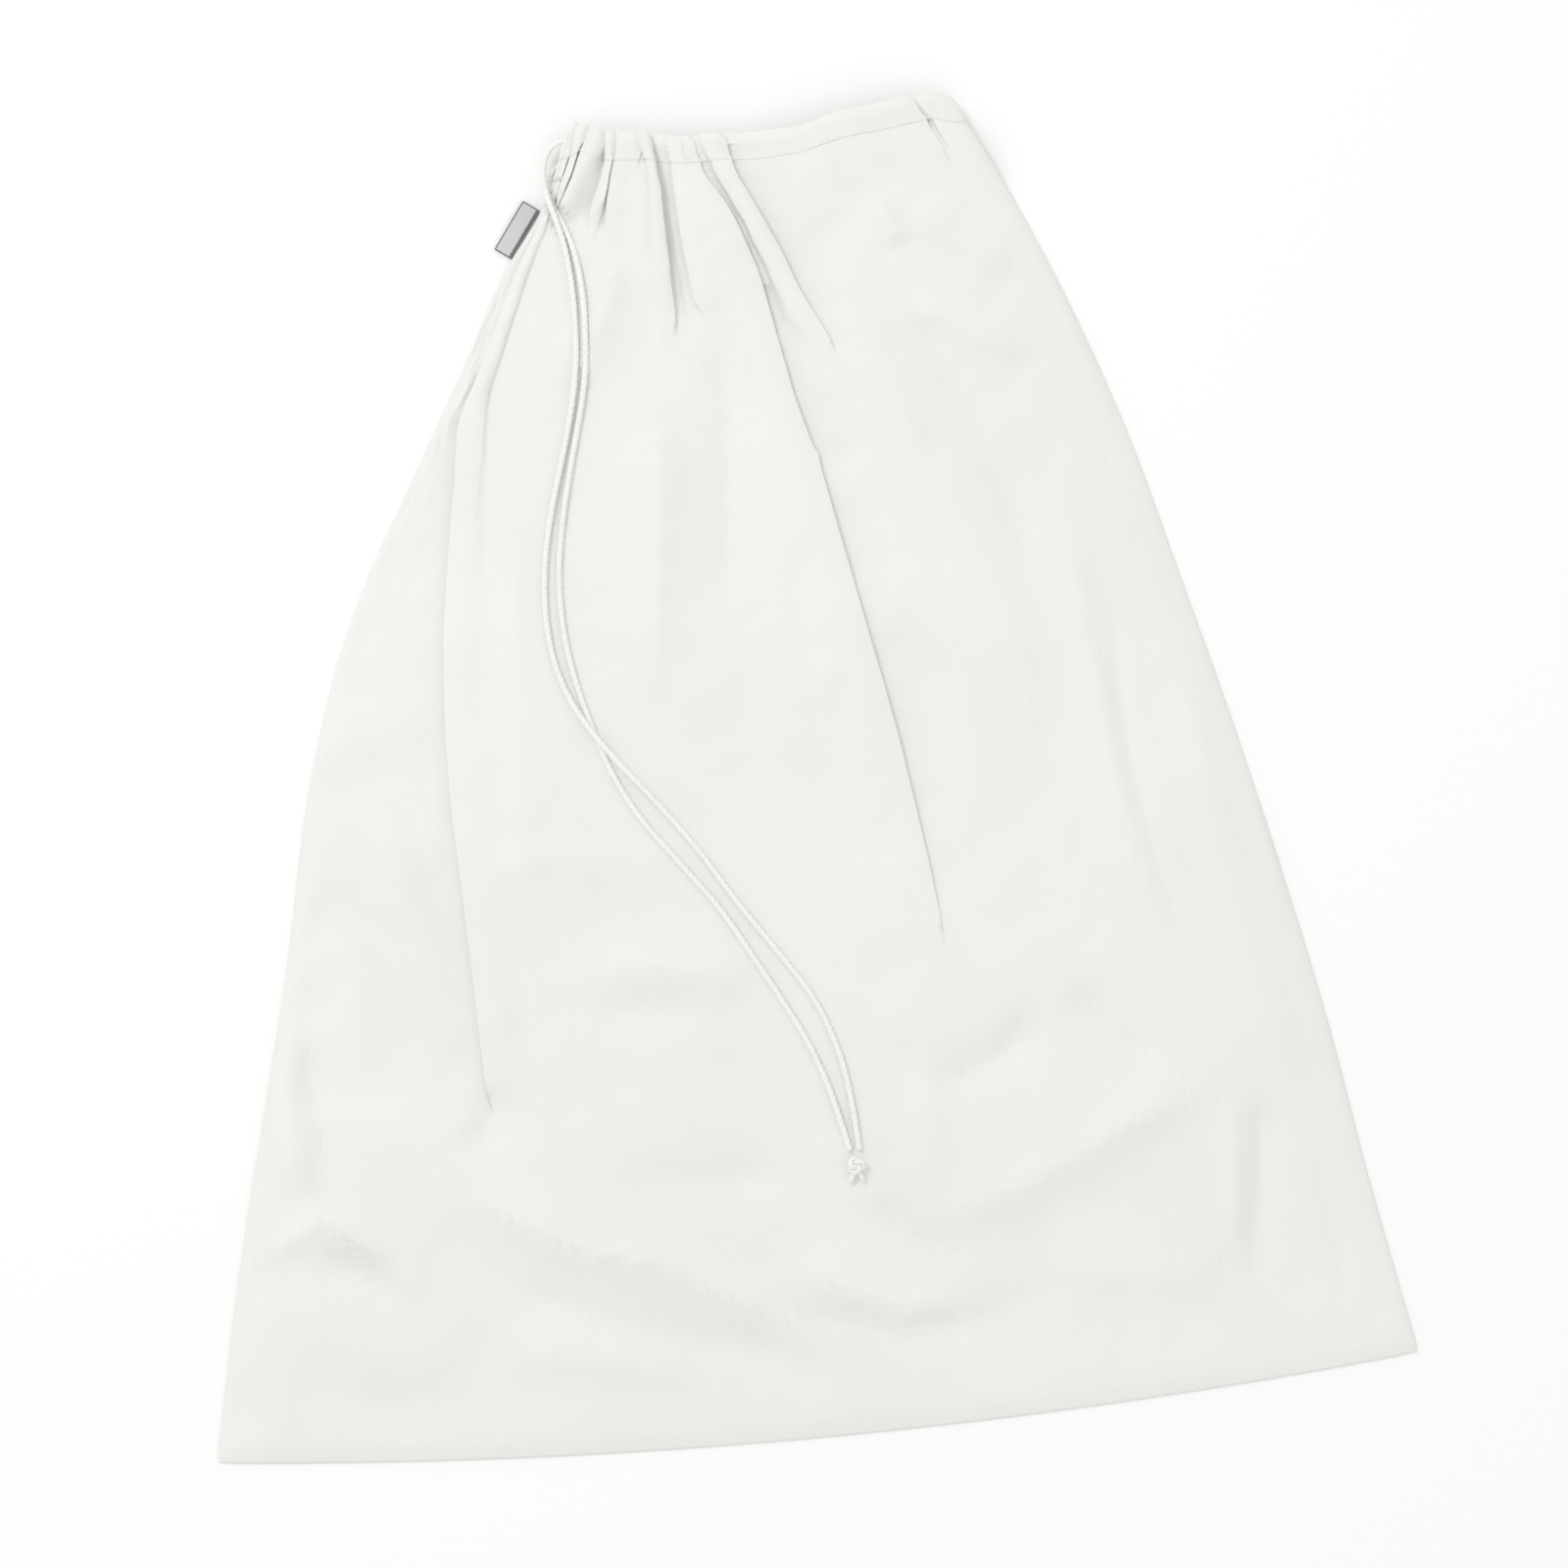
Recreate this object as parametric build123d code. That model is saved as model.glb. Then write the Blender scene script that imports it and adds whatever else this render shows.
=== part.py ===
"""Flat-lying cotton drawstring produce bag: two cloth panels, a gathered mouth casing and one cord."""
from build123d import *
import math
import os

# Driving dimensions, in millimetres. The bag lies on its back panel in the XY plane, mouth towards +Y.
bottom_width = 560.0       # side seam to side seam at the closed end
bag_length = 604.0         # closed end to mouth, as the gathered bag lies
cloth = 0.6                # panel thickness, two threads of plain weave
seam_width = 6.0           # felled side and bottom seams
seam_height = 1.4
gap = 0.3                  # clearance between neighbouring pieces
casing_depth = 14.0        # mouth hem that carries the cord
casing_height = 5.0
casing_crown = 13.0        # underside of the front casing at mid mouth
casing_left = -58.0        # cord exit
casing_right = 108.0
fold_right = 118.0         # end of the casing where it turns round the side seam
casing_lining = 1.5        # cloth above and below the cord's channel, along the bag
channel_end_rise = 0.4     # underside of the front casing's channel at its ends, above the casing's own
channel_overrun = 1.0      # how far a channel's cutting solid passes the casing's ends
cord_diameter = 3.0
thread = 0.8               # width of a line of stitching
thread_height = 0.35
stitch_clearance = 0.1     # arched stitching above the cloth that it crosses
seam_end_gap = 1.5         # bottom seam to each side seam, past the seams' own gap
stitch_inset = 4.0         # bottom stitching short of the side seams
stitch_stop = 8.0          # side stitching short of the casing
tack_length = 4.4          # bar tack across the left seam
tack_width = 2.0
tack_inset = 3.2           # bar tack's middle, in from the seam's edge
tack_drop = 4.0            # and down from the casing
label_length = 26.0
label_width = 8.0
label_thickness = 0.6
label_y = 260.0            # height of the tab's middle up the bag
label_root = 1.2           # gap between the seam and the tab, and from the tab's root to its stitching
label_low = 0.4            # underside of the tab

bottom_y = -bag_length / 2
mouth_y = bag_length / 2
casing_y = mouth_y - casing_depth
panel_edge_z = 0.9         # the front panel's edge, just above the back panel

# How the gathered bag narrows towards its mouth: y, left seam x, right seam x, height of the crown.
stations = [
    (bottom_y, -bottom_width / 2, bottom_width / 2, 1.2),
    (-260, -272, 274, 9.0),
    (-190, -257, 261, 13.0),
    (-80, -229, 240, 15.0),
    (30, -203, 215, 15.5),
    (110, -171, 192, 16.0),
    (190, -126, 165, 16.0),
    (250, -92, 144, 16.0),
    (270, -77.5, 134, 16.0),
    (casing_y - gap, -69, 125, 16.0),
]

# Free cord tails, exit to knot. They lie on the front panel side by side and cross once.
tail_a_route = [
    (-58.5, 298.4, 7.8), (-66, 297, 7.6), (-72.5, 290.5, 7.4), (-74, 281, 7.7), (-71, 269, 8.9),
    (-66.5, 251, 10.8), (-64.5, 225, 12.8), (-66.5, 194, 14.1), (-74.5, 162, 14.6), (-84.5, 131, 14.8),
    (-91, 100, 14.9), (-91.5, 70, 15.2), (-86, 47, 17.2), (-76, 28, 20.3), (-62, 9, 20.8),
    (-46, -11, 18.8), (-30, -33, 18.6), (-16, -57, 18.9), (2, -83, 18.7), (17, -106, 18.1),
    (25.5, -131, 17.7), (29, -154, 17.6), (30.1, -176, 18.0),
]
tail_b_route = [
    (-58.5, 291.8, 2.6), (-64.9, 291.5, 2.8), (-70, 287.6, 3.2), (-72.2, 280.6, 3.8), (-70.4, 270.5, 5.3),
    (-64.8, 258, 8.4), (-61, 240, 11.6), (-60.3, 218, 13.4), (-62.8, 190, 14.5), (-70, 163, 15.0),
    (-78, 134, 15.2), (-84, 103, 15.4), (-84.3, 75, 15.7), (-80.5, 50, 16.0), (-74, 26, 16.2),
    (-67, 5, 16.6), (-56, -16, 17.4), (-40, -37, 18.3), (-23, -60, 18.7), (-11, -82, 18.6),
    (1, -104, 18.2), (12.5, -127, 17.7), (20.5, -151, 17.5), (25.8, -176, 18.0),
]
knot_centre = (28, -183.5, 18.4)
knot_radius = 4.6
knot_flattening = 0.85


def seam_x(y, side):
    """X of the left (side 1) or right (side 2) seam's outer edge at a height y up the bag."""
    for low, high in zip(stations, stations[1:]):
        if y <= high[0]:
            break
    return low[side] + (high[side] - low[side]) * (y - low[0]) / (high[0] - low[0])


def arch_face(y, left, right, end_z, crown_z, thickness):
    """Thin arched section across the bag, in the plane of constant y."""
    middle = (left + right) / 2
    low = ThreePointArc((left, y, end_z), (middle, y, crown_z), (right, y, end_z))
    high = Pos(0, 0, thickness) * low
    ends = [Line((x, y, end_z), (x, y, end_z + thickness)) for x in (left, right)]
    return Face(Wire([low, ends[1], high, ends[0]]))


def front_panel():
    """Puffed upper layer of cloth, open at the mouth."""
    inset = seam_width + gap
    sections = []
    for y, left, right, crown in stations:
        place = y + inset if y == bottom_y else y
        left, right = seam_x(place, 1), seam_x(place, 2)
        sections.append(arch_face(place, left + inset, right - inset, panel_edge_z, crown, cloth))
    return loft(sections, ruled=True)


def back_panel():
    """Lower layer of cloth, flat on the surface that the bag lies on."""
    inset = seam_width + gap
    places = [bottom_y + inset] + [s[0] for s in stations[1:]]
    left = [(seam_x(y, 1) + inset, y) for y in places]
    right = [(seam_x(y, 2) - inset, y) for y in reversed(places)]
    return extrude(make_face(Polyline(*left, *right, close=True)), cloth)


def seam_band(side, offset, width, low_z, height, top_y):
    """Strip that follows a side seam, offset inwards from its outer edge."""
    inward = 1 if side == 1 else -1
    places = [s[0] for s in stations[:-1]] + [top_y]
    outer = [(seam_x(y, side) + inward * offset, y) for y in places]
    inner = [(x + inward * width, y) for x, y in reversed(outer)]
    return Pos(0, 0, low_z) * extrude(make_face(Polyline(*outer, *inner, close=True)), height)


def side_seam(side):
    """Felled seam that joins the two panels along one side."""
    return seam_band(side, 0, seam_width, 0, seam_height, casing_y - gap)


def side_seam_stitching(side):
    """Line of thread along the middle of a side seam."""
    return seam_band(side, seam_width / 2, thread, seam_height, thread_height, casing_y - stitch_stop)


def bottom_seam():
    """Felled seam along the closed end, between the side seams."""
    length = bottom_width - 2 * (seam_width + gap + seam_end_gap)
    return Pos(0, bottom_y + seam_width / 2, seam_height / 2) * Box(length, seam_width, seam_height)


def bottom_seam_stitching():
    """Line of thread along the bottom seam."""
    length = bottom_width - 2 * (seam_width + stitch_inset)
    place = Pos(0, bottom_y + seam_width / 2, seam_height + thread_height / 2)
    return place * Box(length, thread, thread_height)


def front_casing():
    """Upper half of the mouth hem: an arched flat tube that the cord runs through."""
    low = casing_height + gap
    outer = arch_face(casing_y, casing_left, casing_right, low, casing_crown, casing_height)
    inner = arch_face(casing_y + casing_lining, casing_left - channel_overrun, casing_right + channel_overrun,
                      low + channel_end_rise, casing_crown + cloth, casing_height - 2 * cloth)
    tube = extrude(outer, casing_depth, dir=(0, 1, 0))
    return tube - extrude(inner, casing_depth - 2 * casing_lining, dir=(0, 1, 0))


def back_casing():
    """Lower half of the mouth hem, flat on the surface."""
    middle = (casing_left + casing_right) / 2
    length = casing_right - casing_left
    place = Pos(middle, casing_y + casing_depth / 2, casing_height / 2)
    channel = Box(length + 2 * channel_overrun, casing_depth - 2 * casing_lining, casing_height - 2 * cloth)
    return place * (Box(length, casing_depth, casing_height) - channel)


def casing_fold():
    """End of the hem that carries the cord round the right side seam, closed on the outside."""
    left = casing_right + gap
    height = 2 * casing_height + gap
    place = Pos((left + fold_right) / 2, casing_y + casing_depth / 2, height / 2)
    length = fold_right - left
    hollow = Box(length, casing_depth - 2 * casing_lining, height - 2 * cloth)
    return place * (Box(length, casing_depth, height) - Pos(-cloth, 0, 0) * hollow)


def front_casing_stitching():
    """Line of thread along the lower edge of the front casing, over its arch."""
    top = casing_height + gap + casing_height
    line = arch_face(casing_y + 1, casing_left + 1, casing_right - 1, top + gap,
                     casing_crown + casing_height + stitch_clearance, thread_height)
    return extrude(line, thread, dir=(0, 1, 0))


def back_casing_stitching():
    """Line of thread along the lower edge of the back casing, on its inner side."""
    place = Pos((casing_left + casing_right) / 2, casing_y + casing_lining, casing_height + thread_height / 2)
    return place * Box(casing_right - casing_left - 2 * seam_width, thread, thread_height / 2)


def exit_bar_tack():
    """Dense bar of stitches on the left seam, where the casing's slit lets the cord out."""
    y = casing_y - tack_drop
    place = Pos(seam_x(y, 1) + tack_inset, y, seam_height + thread_height)
    return place * Box(tack_length, tack_width, 2 * thread_height)


def label_frame():
    """Place on the left seam's outer edge, X outwards across the label and Y along the seam."""
    low, high = label_y - label_length / 4, label_y + label_length / 4
    along = Vector(seam_x(high, 1) - seam_x(low, 1), high - low, 0).normalized()
    outward = along.rotate(Axis.Z, 90)
    root = Vector(seam_x(label_y, 1), label_y, label_low + label_thickness / 2) + outward * label_root
    return Plane(origin=root, x_dir=outward, z_dir=(0, 0, 1))


def side_label():
    """Folded woven tab that stands out of the left seam. It carries no lettering."""
    return label_frame() * Pos(label_width / 2, 0, 0) * Box(label_width, label_length, label_thickness)


def label_stitching():
    """Line of thread that closes the tab beside the seam."""
    top = label_thickness / 2 + thread_height / 2
    return label_frame() * Pos(label_root, 0, top) * Box(thread, label_length - 2 * label_root, thread_height)


def tube(points, diameter, name):
    """Round cord along straight runs joined by tangent arcs, each as large as its runs allow."""
    corners = [Vector(*p) for p in points]
    radii = []
    for a, b, c in zip(corners, corners[1:], corners[2:]):
        turn = math.radians((b - a).get_angle(c - b))
        radii.append(0.45 * min((b - a).length, (c - b).length) / math.tan(turn / 2))
    path = FilletPolyline(*points, radius=radii)
    start = Plane(origin=path @ 0, z_dir=path % 0)
    solid = sweep(start * Circle(diameter / 2), path=path)
    expected = math.pi * diameter ** 2 / 4 * path.length
    runs = [(b - a).length for a, b in zip(corners, corners[1:])]
    print(f"{name}: length {path.length:.1f} mm, volume / expected {solid.volume / expected:.4f}, "
          f"runs {min(runs):.1f} to {max(runs):.1f}, smallest radius {min(radii):.1f}")
    print("  radii", [round(r, 1) for r in radii])
    return solid


def loop_route():
    """The cord inside the casing: along the front arch, round the side seam, back along the flat side."""
    front_y, back_y = mouth_y - 3.5, casing_y + 3.5
    low, half = casing_height + gap + casing_height / 2, (casing_right - casing_left) / 2
    rise = casing_crown - casing_height - gap
    middle, turn_x = (casing_left + casing_right) / 2, fold_right - 3
    route = []
    for step in range(7):
        x = casing_left + 0.5 + (2 * half - 4) * step / 6
        route.append((x, front_y, low + rise * (1 - ((x - middle) / half) ** 2)))
    route += [(turn_x, front_y, low - 0.6), (turn_x, back_y, casing_height / 2)]
    return route + [(casing_left + 0.5, back_y, casing_height / 2)]


def knot():
    """Overhand knot that joins the two tails."""
    return Pos(*knot_centre) * scale(Sphere(knot_radius), by=(1, 1, knot_flattening))


parts = {
    "front_panel": front_panel(),
    "back_panel": back_panel(),
    "left_side_seam": side_seam(1),
    "right_side_seam": side_seam(2),
    "bottom_seam": bottom_seam(),
    "left_seam_stitching": side_seam_stitching(1),
    "right_seam_stitching": side_seam_stitching(2),
    "bottom_seam_stitching": bottom_seam_stitching(),
    "front_casing": front_casing(),
    "back_casing": back_casing(),
    "casing_fold": casing_fold(),
    "front_casing_stitching": front_casing_stitching(),
    "back_casing_stitching": back_casing_stitching(),
    "exit_bar_tack": exit_bar_tack(),
    "side_label": side_label(),
    "label_stitching": label_stitching(),
    "drawstring_loop": tube(loop_route(), cord_diameter, "drawstring_loop"),
    "drawstring_tail_a": tube(tail_a_route, cord_diameter, "drawstring_tail_a"),
    "drawstring_tail_b": tube(tail_b_route, cord_diameter, "drawstring_tail_b"),
    "end_knot": knot(),
}

os.makedirs("parts", exist_ok=True)
for node, shape in parts.items():
    export_step(shape, f"parts/{node}.step")
frame = label_frame()
print("label hinge", [round(v, 3) for v in frame.origin], "axis", [round(v, 4) for v in frame.y_dir])
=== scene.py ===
# A white cotton drawstring bag that lies flat, gathered at its mouth by a knotted cord.
import math
import bpy
import numpy as np
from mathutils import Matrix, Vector
from mathutils.bvhtree import BVHTree


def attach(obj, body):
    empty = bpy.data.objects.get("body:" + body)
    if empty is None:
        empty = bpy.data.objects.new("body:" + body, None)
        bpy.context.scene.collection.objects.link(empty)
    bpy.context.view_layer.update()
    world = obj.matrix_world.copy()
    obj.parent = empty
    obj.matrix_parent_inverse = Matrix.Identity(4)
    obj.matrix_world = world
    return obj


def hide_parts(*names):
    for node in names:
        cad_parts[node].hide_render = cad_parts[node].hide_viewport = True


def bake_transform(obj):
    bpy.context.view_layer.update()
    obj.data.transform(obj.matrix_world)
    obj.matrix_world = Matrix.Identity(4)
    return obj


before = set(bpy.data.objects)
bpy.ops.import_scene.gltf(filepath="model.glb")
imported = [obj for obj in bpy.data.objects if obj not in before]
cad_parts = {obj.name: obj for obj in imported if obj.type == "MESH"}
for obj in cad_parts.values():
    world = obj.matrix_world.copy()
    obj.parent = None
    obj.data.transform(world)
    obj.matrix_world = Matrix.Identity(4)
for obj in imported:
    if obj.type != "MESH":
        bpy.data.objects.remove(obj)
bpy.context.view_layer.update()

mm = 0.001  # everything below is thought of in millimetres and made in metres


def pick(piece):
    # the only selected piece, and the active one
    for thing in bpy.context.selected_objects:
        thing.select_set(False)
    piece.select_set(True)
    bpy.context.view_layer.objects.active = piece


def smoothStep(value, low, high):
    share = np.clip((np.asarray(value, float) - low) / (high - low), 0, 1)
    return share * share * (3 - 2 * share)


def easedAverage(values, reach):
    # rolling average with soft ends, along the first axis
    window = np.hanning(2 * reach + 3)[1:-1]
    window = window / window.sum()
    values = np.asarray(values, float)
    first = 2 * values[:1] - values[1:reach + 1][::-1]
    last = 2 * values[-1:] - values[-reach - 1:-1][::-1]
    return np.convolve(np.concatenate([first, values, last]), window, "valid")


def curveThrough(points, shares):
    # smooth curve that passes through every point, read at shares of its length
    points = np.array(points, float)
    along = np.r_[0, np.cumsum(np.linalg.norm(np.diff(points, axis=0), axis=1))]
    slope = np.gradient(points, along, axis=0)
    place = np.asarray(shares, float) * along[-1]
    k = np.clip(np.searchsorted(along, place, side="right") - 1, 0, len(along) - 2)
    span = (along[k + 1] - along[k])[:, None]
    f = (place - along[k])[:, None] / span
    return ((2 * f**3 - 3 * f**2 + 1) * points[k] + (f**3 - 2 * f**2 + f) * span * slope[k]
            + (3 * f**2 - 2 * f**3) * points[k + 1] + (f**3 - f**2) * span * slope[k + 1])


def densePath(points, steps=30):
    points = np.array(points, float)
    runs = [np.linspace(a, b, steps, endpoint=False) for a, b in zip(points, points[1:])]
    return np.concatenate(runs + [points[-1:]])


def meshPiece(name, points, faces, uv=None):
    # points in millimetres, faces as lists of corner numbers, uv one pair for each point
    mesh = bpy.data.meshes.new(name)
    places = [tuple(p) for p in np.asarray(points, float) * mm]
    mesh.from_pydata(places, [], [tuple(map(int, f)) for f in faces])
    if uv is not None:
        layer = mesh.uv_layers.new(name="clothWay")
        corners = np.zeros(len(mesh.loops), int)
        mesh.loops.foreach_get("vertex_index", corners)
        layer.data.foreach_set("uv", np.asarray(uv, float)[corners].ravel())
    mesh.validate()
    piece = bpy.data.objects.new(name, mesh)
    bpy.context.collection.objects.link(piece)
    return piece


def gridFaces(rows, columns, ringed=False):
    # quads of a grid of points, numbered row by row; ringed joins the last column to the first
    faces = []
    wide = columns if ringed else columns - 1
    for i in range(rows - 1):
        for j in range(wide):
            k = (j + 1) % columns
            low, high = i * columns, (i + 1) * columns
            faces.append((low + j, low + k, high + k, high + j))
    return faces


def smoothShade(piece, degrees=60):
    pick(piece)
    bpy.ops.object.shade_smooth_by_angle(angle=math.radians(degrees))
    piece.select_set(False)


def addWall(piece, name, thickness, offset=0):
    # gives a sheet its thickness
    wall = piece.modifiers.new(name, "SOLIDIFY")
    wall.thickness = thickness * mm
    wall.offset = offset
    pick(piece)
    bpy.ops.object.modifier_apply(modifier=wall.name)
    piece.select_set(False)


def outwardNormals(piece):
    pick(piece)
    bpy.ops.object.mode_set(mode="EDIT")
    bpy.ops.mesh.select_all(action="SELECT")
    bpy.ops.mesh.normals_make_consistent(inside=False)
    bpy.ops.object.mode_set(mode="OBJECT")
    piece.select_set(False)


def newMaterial(name, colour, roughness, sheen=0.0):
    material = bpy.data.materials.new(name)
    material.use_nodes = True
    shader = material.node_tree.nodes["Principled BSDF"]
    shader.inputs["Base Color"].default_value = (*colour, 1)
    shader.inputs["Roughness"].default_value = roughness
    shader.inputs["Sheen Weight"].default_value = sheen
    shader.inputs["Sheen Roughness"].default_value = 0.45
    shader.inputs["Specular IOR Level"].default_value = 0.25
    return material, material.node_tree, shader


def addNode(tree, kind, **settings):
    node = tree.nodes.new(kind)
    for key, value in settings.items():
        if key in node.inputs:
            node.inputs[key].default_value = value
        else:
            setattr(node, key, value)
    return node


def addNoise(tree, way, **settings):
    noise = addNode(tree, "ShaderNodeTexNoise", **settings)
    tree.links.new(way, noise.inputs["Vector"])
    return noise.outputs["Fac"]


def addBump(tree, height, strength, distance, beneath=None):
    bump = addNode(tree, "ShaderNodeBump", Strength=strength, Distance=distance)
    tree.links.new(height, bump.inputs["Height"])
    if beneath:
        tree.links.new(beneath, bump.inputs["Normal"])
    return bump.outputs["Normal"]


def addRamp(tree, source, colours, places=(0, 1)):
    ramp = addNode(tree, "ShaderNodeValToRGB")
    for element, colour, place in zip(ramp.color_ramp.elements, colours, places):
        element.position = place
        element.color = (*colour, 1)
    tree.links.new(source, ramp.inputs["Fac"])
    return ramp.outputs["Color"]


cottonLook = dict(pale=(0.845, 0.845, 0.812), deep=(0.822, 0.824, 0.788), roughness=0.86, sheen=0.18,
                  threadScale=2400 / 6.283,  # 2400 threads to the metre
                  alongThread=0.12, acrossThread=6, weaveBump=0.12, weaveDepth=0.0004,
                  creaseBump=0.10, creaseDepth=0.0016, tintPlaces=(0.30, 0.62))


def cottonMaterial():
    # plain weave: two crossed sets of threads, uneven in thickness, on the cloth's own UV
    look = cottonLook
    material, tree, shader = newMaterial("washedCotton", look["pale"], look["roughness"], look["sheen"])
    link = tree.links.new
    uv = addNode(tree, "ShaderNodeUVMap", uv_map="clothWay").outputs["UV"]
    place = addNode(tree, "ShaderNodeTexCoord").outputs["Object"]
    weave = addNode(tree, "ShaderNodeMath", operation="ADD")
    for k, direction in enumerate("XY"):
        wave = addNode(tree, "ShaderNodeTexWave", wave_type="BANDS", bands_direction=direction,
                       wave_profile="SIN", Scale=look["threadScale"], Distortion=0.0)
        link(uv, wave.inputs["Vector"])
        stretch = addNode(tree, "ShaderNodeMapping")
        stretch.inputs["Scale"].default_value[k] = look["acrossThread"]
        stretch.inputs["Scale"].default_value[1 - k] = look["alongThread"]
        link(uv, stretch.inputs["Vector"])
        slub = addNoise(tree, stretch.outputs["Vector"], Scale=260.0, Detail=2.0, Roughness=0.55)
        both = addNode(tree, "ShaderNodeMath", operation="MULTIPLY")
        link(wave.outputs["Fac"], both.inputs[0])
        link(slub, both.inputs[1])
        link(both.outputs[0], weave.inputs[k])
    threads = addBump(tree, weave.outputs[0], look["weaveBump"], look["weaveDepth"])
    # faint creases left by washing and folding
    crease = addNoise(tree, place, Scale=38.0, Detail=5.0, Roughness=0.62, Distortion=0.6)
    soft = addBump(tree, crease, look["creaseBump"], look["creaseDepth"], beneath=threads)
    link(soft, shader.inputs["Normal"])
    # uneven whiteness, broad and faint
    broad = addNoise(tree, place, Scale=9.0, Detail=3.0, Roughness=0.6)
    tint = addRamp(tree, broad, (look["deep"], look["pale"]), look["tintPlaces"])
    link(tint, shader.inputs["Base Color"])
    return material


threadLook = dict(roughness=0.72, sheen=0.35, bump=0.25, depth=0.0003, tintPlaces=(0.30, 0.60))


def threadMaterial(name, pale, deep, scale=900.0):
    # spun yarn: a soft fuzz and an uneven tint
    material, tree, shader = newMaterial(name, pale, threadLook["roughness"], threadLook["sheen"])
    place = addNode(tree, "ShaderNodeTexCoord").outputs["Object"]
    fibre = addNoise(tree, place, Scale=scale, Detail=3.0, Roughness=0.6, Distortion=0.4)
    fuzz = addBump(tree, fibre, threadLook["bump"], threadLook["depth"])
    tree.links.new(fuzz, shader.inputs["Normal"])
    tint = addRamp(tree, fibre, (deep, pale), threadLook["tintPlaces"])
    tree.links.new(tint, shader.inputs["Base Color"])
    return material


cotton = cottonMaterial()
cordCotton = threadMaterial("cordCotton", (0.92, 0.92, 0.895), (0.85, 0.85, 0.825))
sewingThread = threadMaterial("sewingThread", (0.86, 0.86, 0.835), (0.74, 0.74, 0.71), scale=1600.0)


view = dict(centre=(11.1, -4.9), frameHeight=725.5, distance=2300, bagTop=10, turn=-5.3, farthest=20)


def addCamera():
    data = bpy.data.cameras.new("overheadCamera")
    data.angle = 2 * math.atan(view["frameHeight"] / 2 / view["distance"])
    data.clip_end = view["farthest"]
    camera = bpy.data.objects.new("overheadCamera", data)
    x, y = view["centre"]
    camera.location = (x * mm, y * mm, (view["distance"] + view["bagTop"]) * mm)
    camera.rotation_euler = (0, 0, math.radians(view["turn"]))
    bpy.context.collection.objects.link(camera)
    bpy.context.scene.camera = camera


# lamps: name, power, size and place
studio = dict(floorHalf=2.6, floorLevel=-0.0003, paper=(0.96, 0.96, 0.955), world=0.84,
              lamps=[("windowKey", 17, 0.9, (-1.0, 1.3, 2.1)), ("softFill", 3, 2.0, (1.8, -1.2, 2.2))])


def addFloor():
    place = (0, 0, studio["floorLevel"])
    bpy.ops.mesh.primitive_plane_add(size=2 * studio["floorHalf"], location=place)
    floor = bpy.context.active_object
    floor.name = "paleFloor"
    material, tree, shader = newMaterial("palePaper", studio["paper"], 0.9)
    way = addNode(tree, "ShaderNodeTexCoord").outputs["Object"]
    grain = addNoise(tree, way, Scale=60.0, Detail=4.0)
    tree.links.new(addBump(tree, grain, 0.03, 0.0005), shader.inputs["Normal"])
    floor.data.materials.append(material)
    floor.select_set(False)


def addLamp(name, power, size, place):
    # an area lamp that points at the bag
    data = bpy.data.lights.new(name, "AREA")
    data.energy = power
    data.size = size
    lamp = bpy.data.objects.new(name, data)
    lamp.location = place
    lamp.rotation_euler = Vector(place).to_track_quat("Z", "Y").to_euler()
    bpy.context.collection.objects.link(lamp)


def addLight():
    for lamp in studio["lamps"]:
        addLamp(*lamp)
    world = bpy.data.worlds.new("studioWorld")
    world.use_nodes = True
    background = world.node_tree.nodes["Background"]
    background.inputs["Color"].default_value = (1, 1, 1, 1)
    background.inputs["Strength"].default_value = studio["world"]
    bpy.context.scene.world = world
    bpy.context.scene.view_settings.view_transform = "Standard"


addCamera()
addFloor()
addLight()
print("stage: camera, floor and light")


# Outline of the bag in millimetres, closed end to mouth.
outline = dict(
    left=[(-280, -294), (-260, -201), (-243, -134), (-226, -66), (-209, 11), (-187, 77), (-174, 105),
          (-153, 142),
          (-117, 205), (-94, 247), (-77.5, 269), (-61, 306)],
    right=[(280, -294), (265, -215), (251.5, -134), (237, -64), (221, 5), (203, 75), (184, 146),
           (152, 234), (134, 274), (117, 306)],
    mouth=[(-61, 306), (-56, 309), (-45, 303), (-26, 301.5), (-9, 297.5), (10, 297.5), (28, 296.5),
           (46, 297.5), (65, 302.5), (83, 304.5), (101, 307), (109, 308), (117, 305)],
    sag=14,          # how far the closed end bows out between its corners
    lip=0.6,         # how far the seams stand out past the panels
    casingDepth=14,
    sideLength=623,
)

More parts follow.
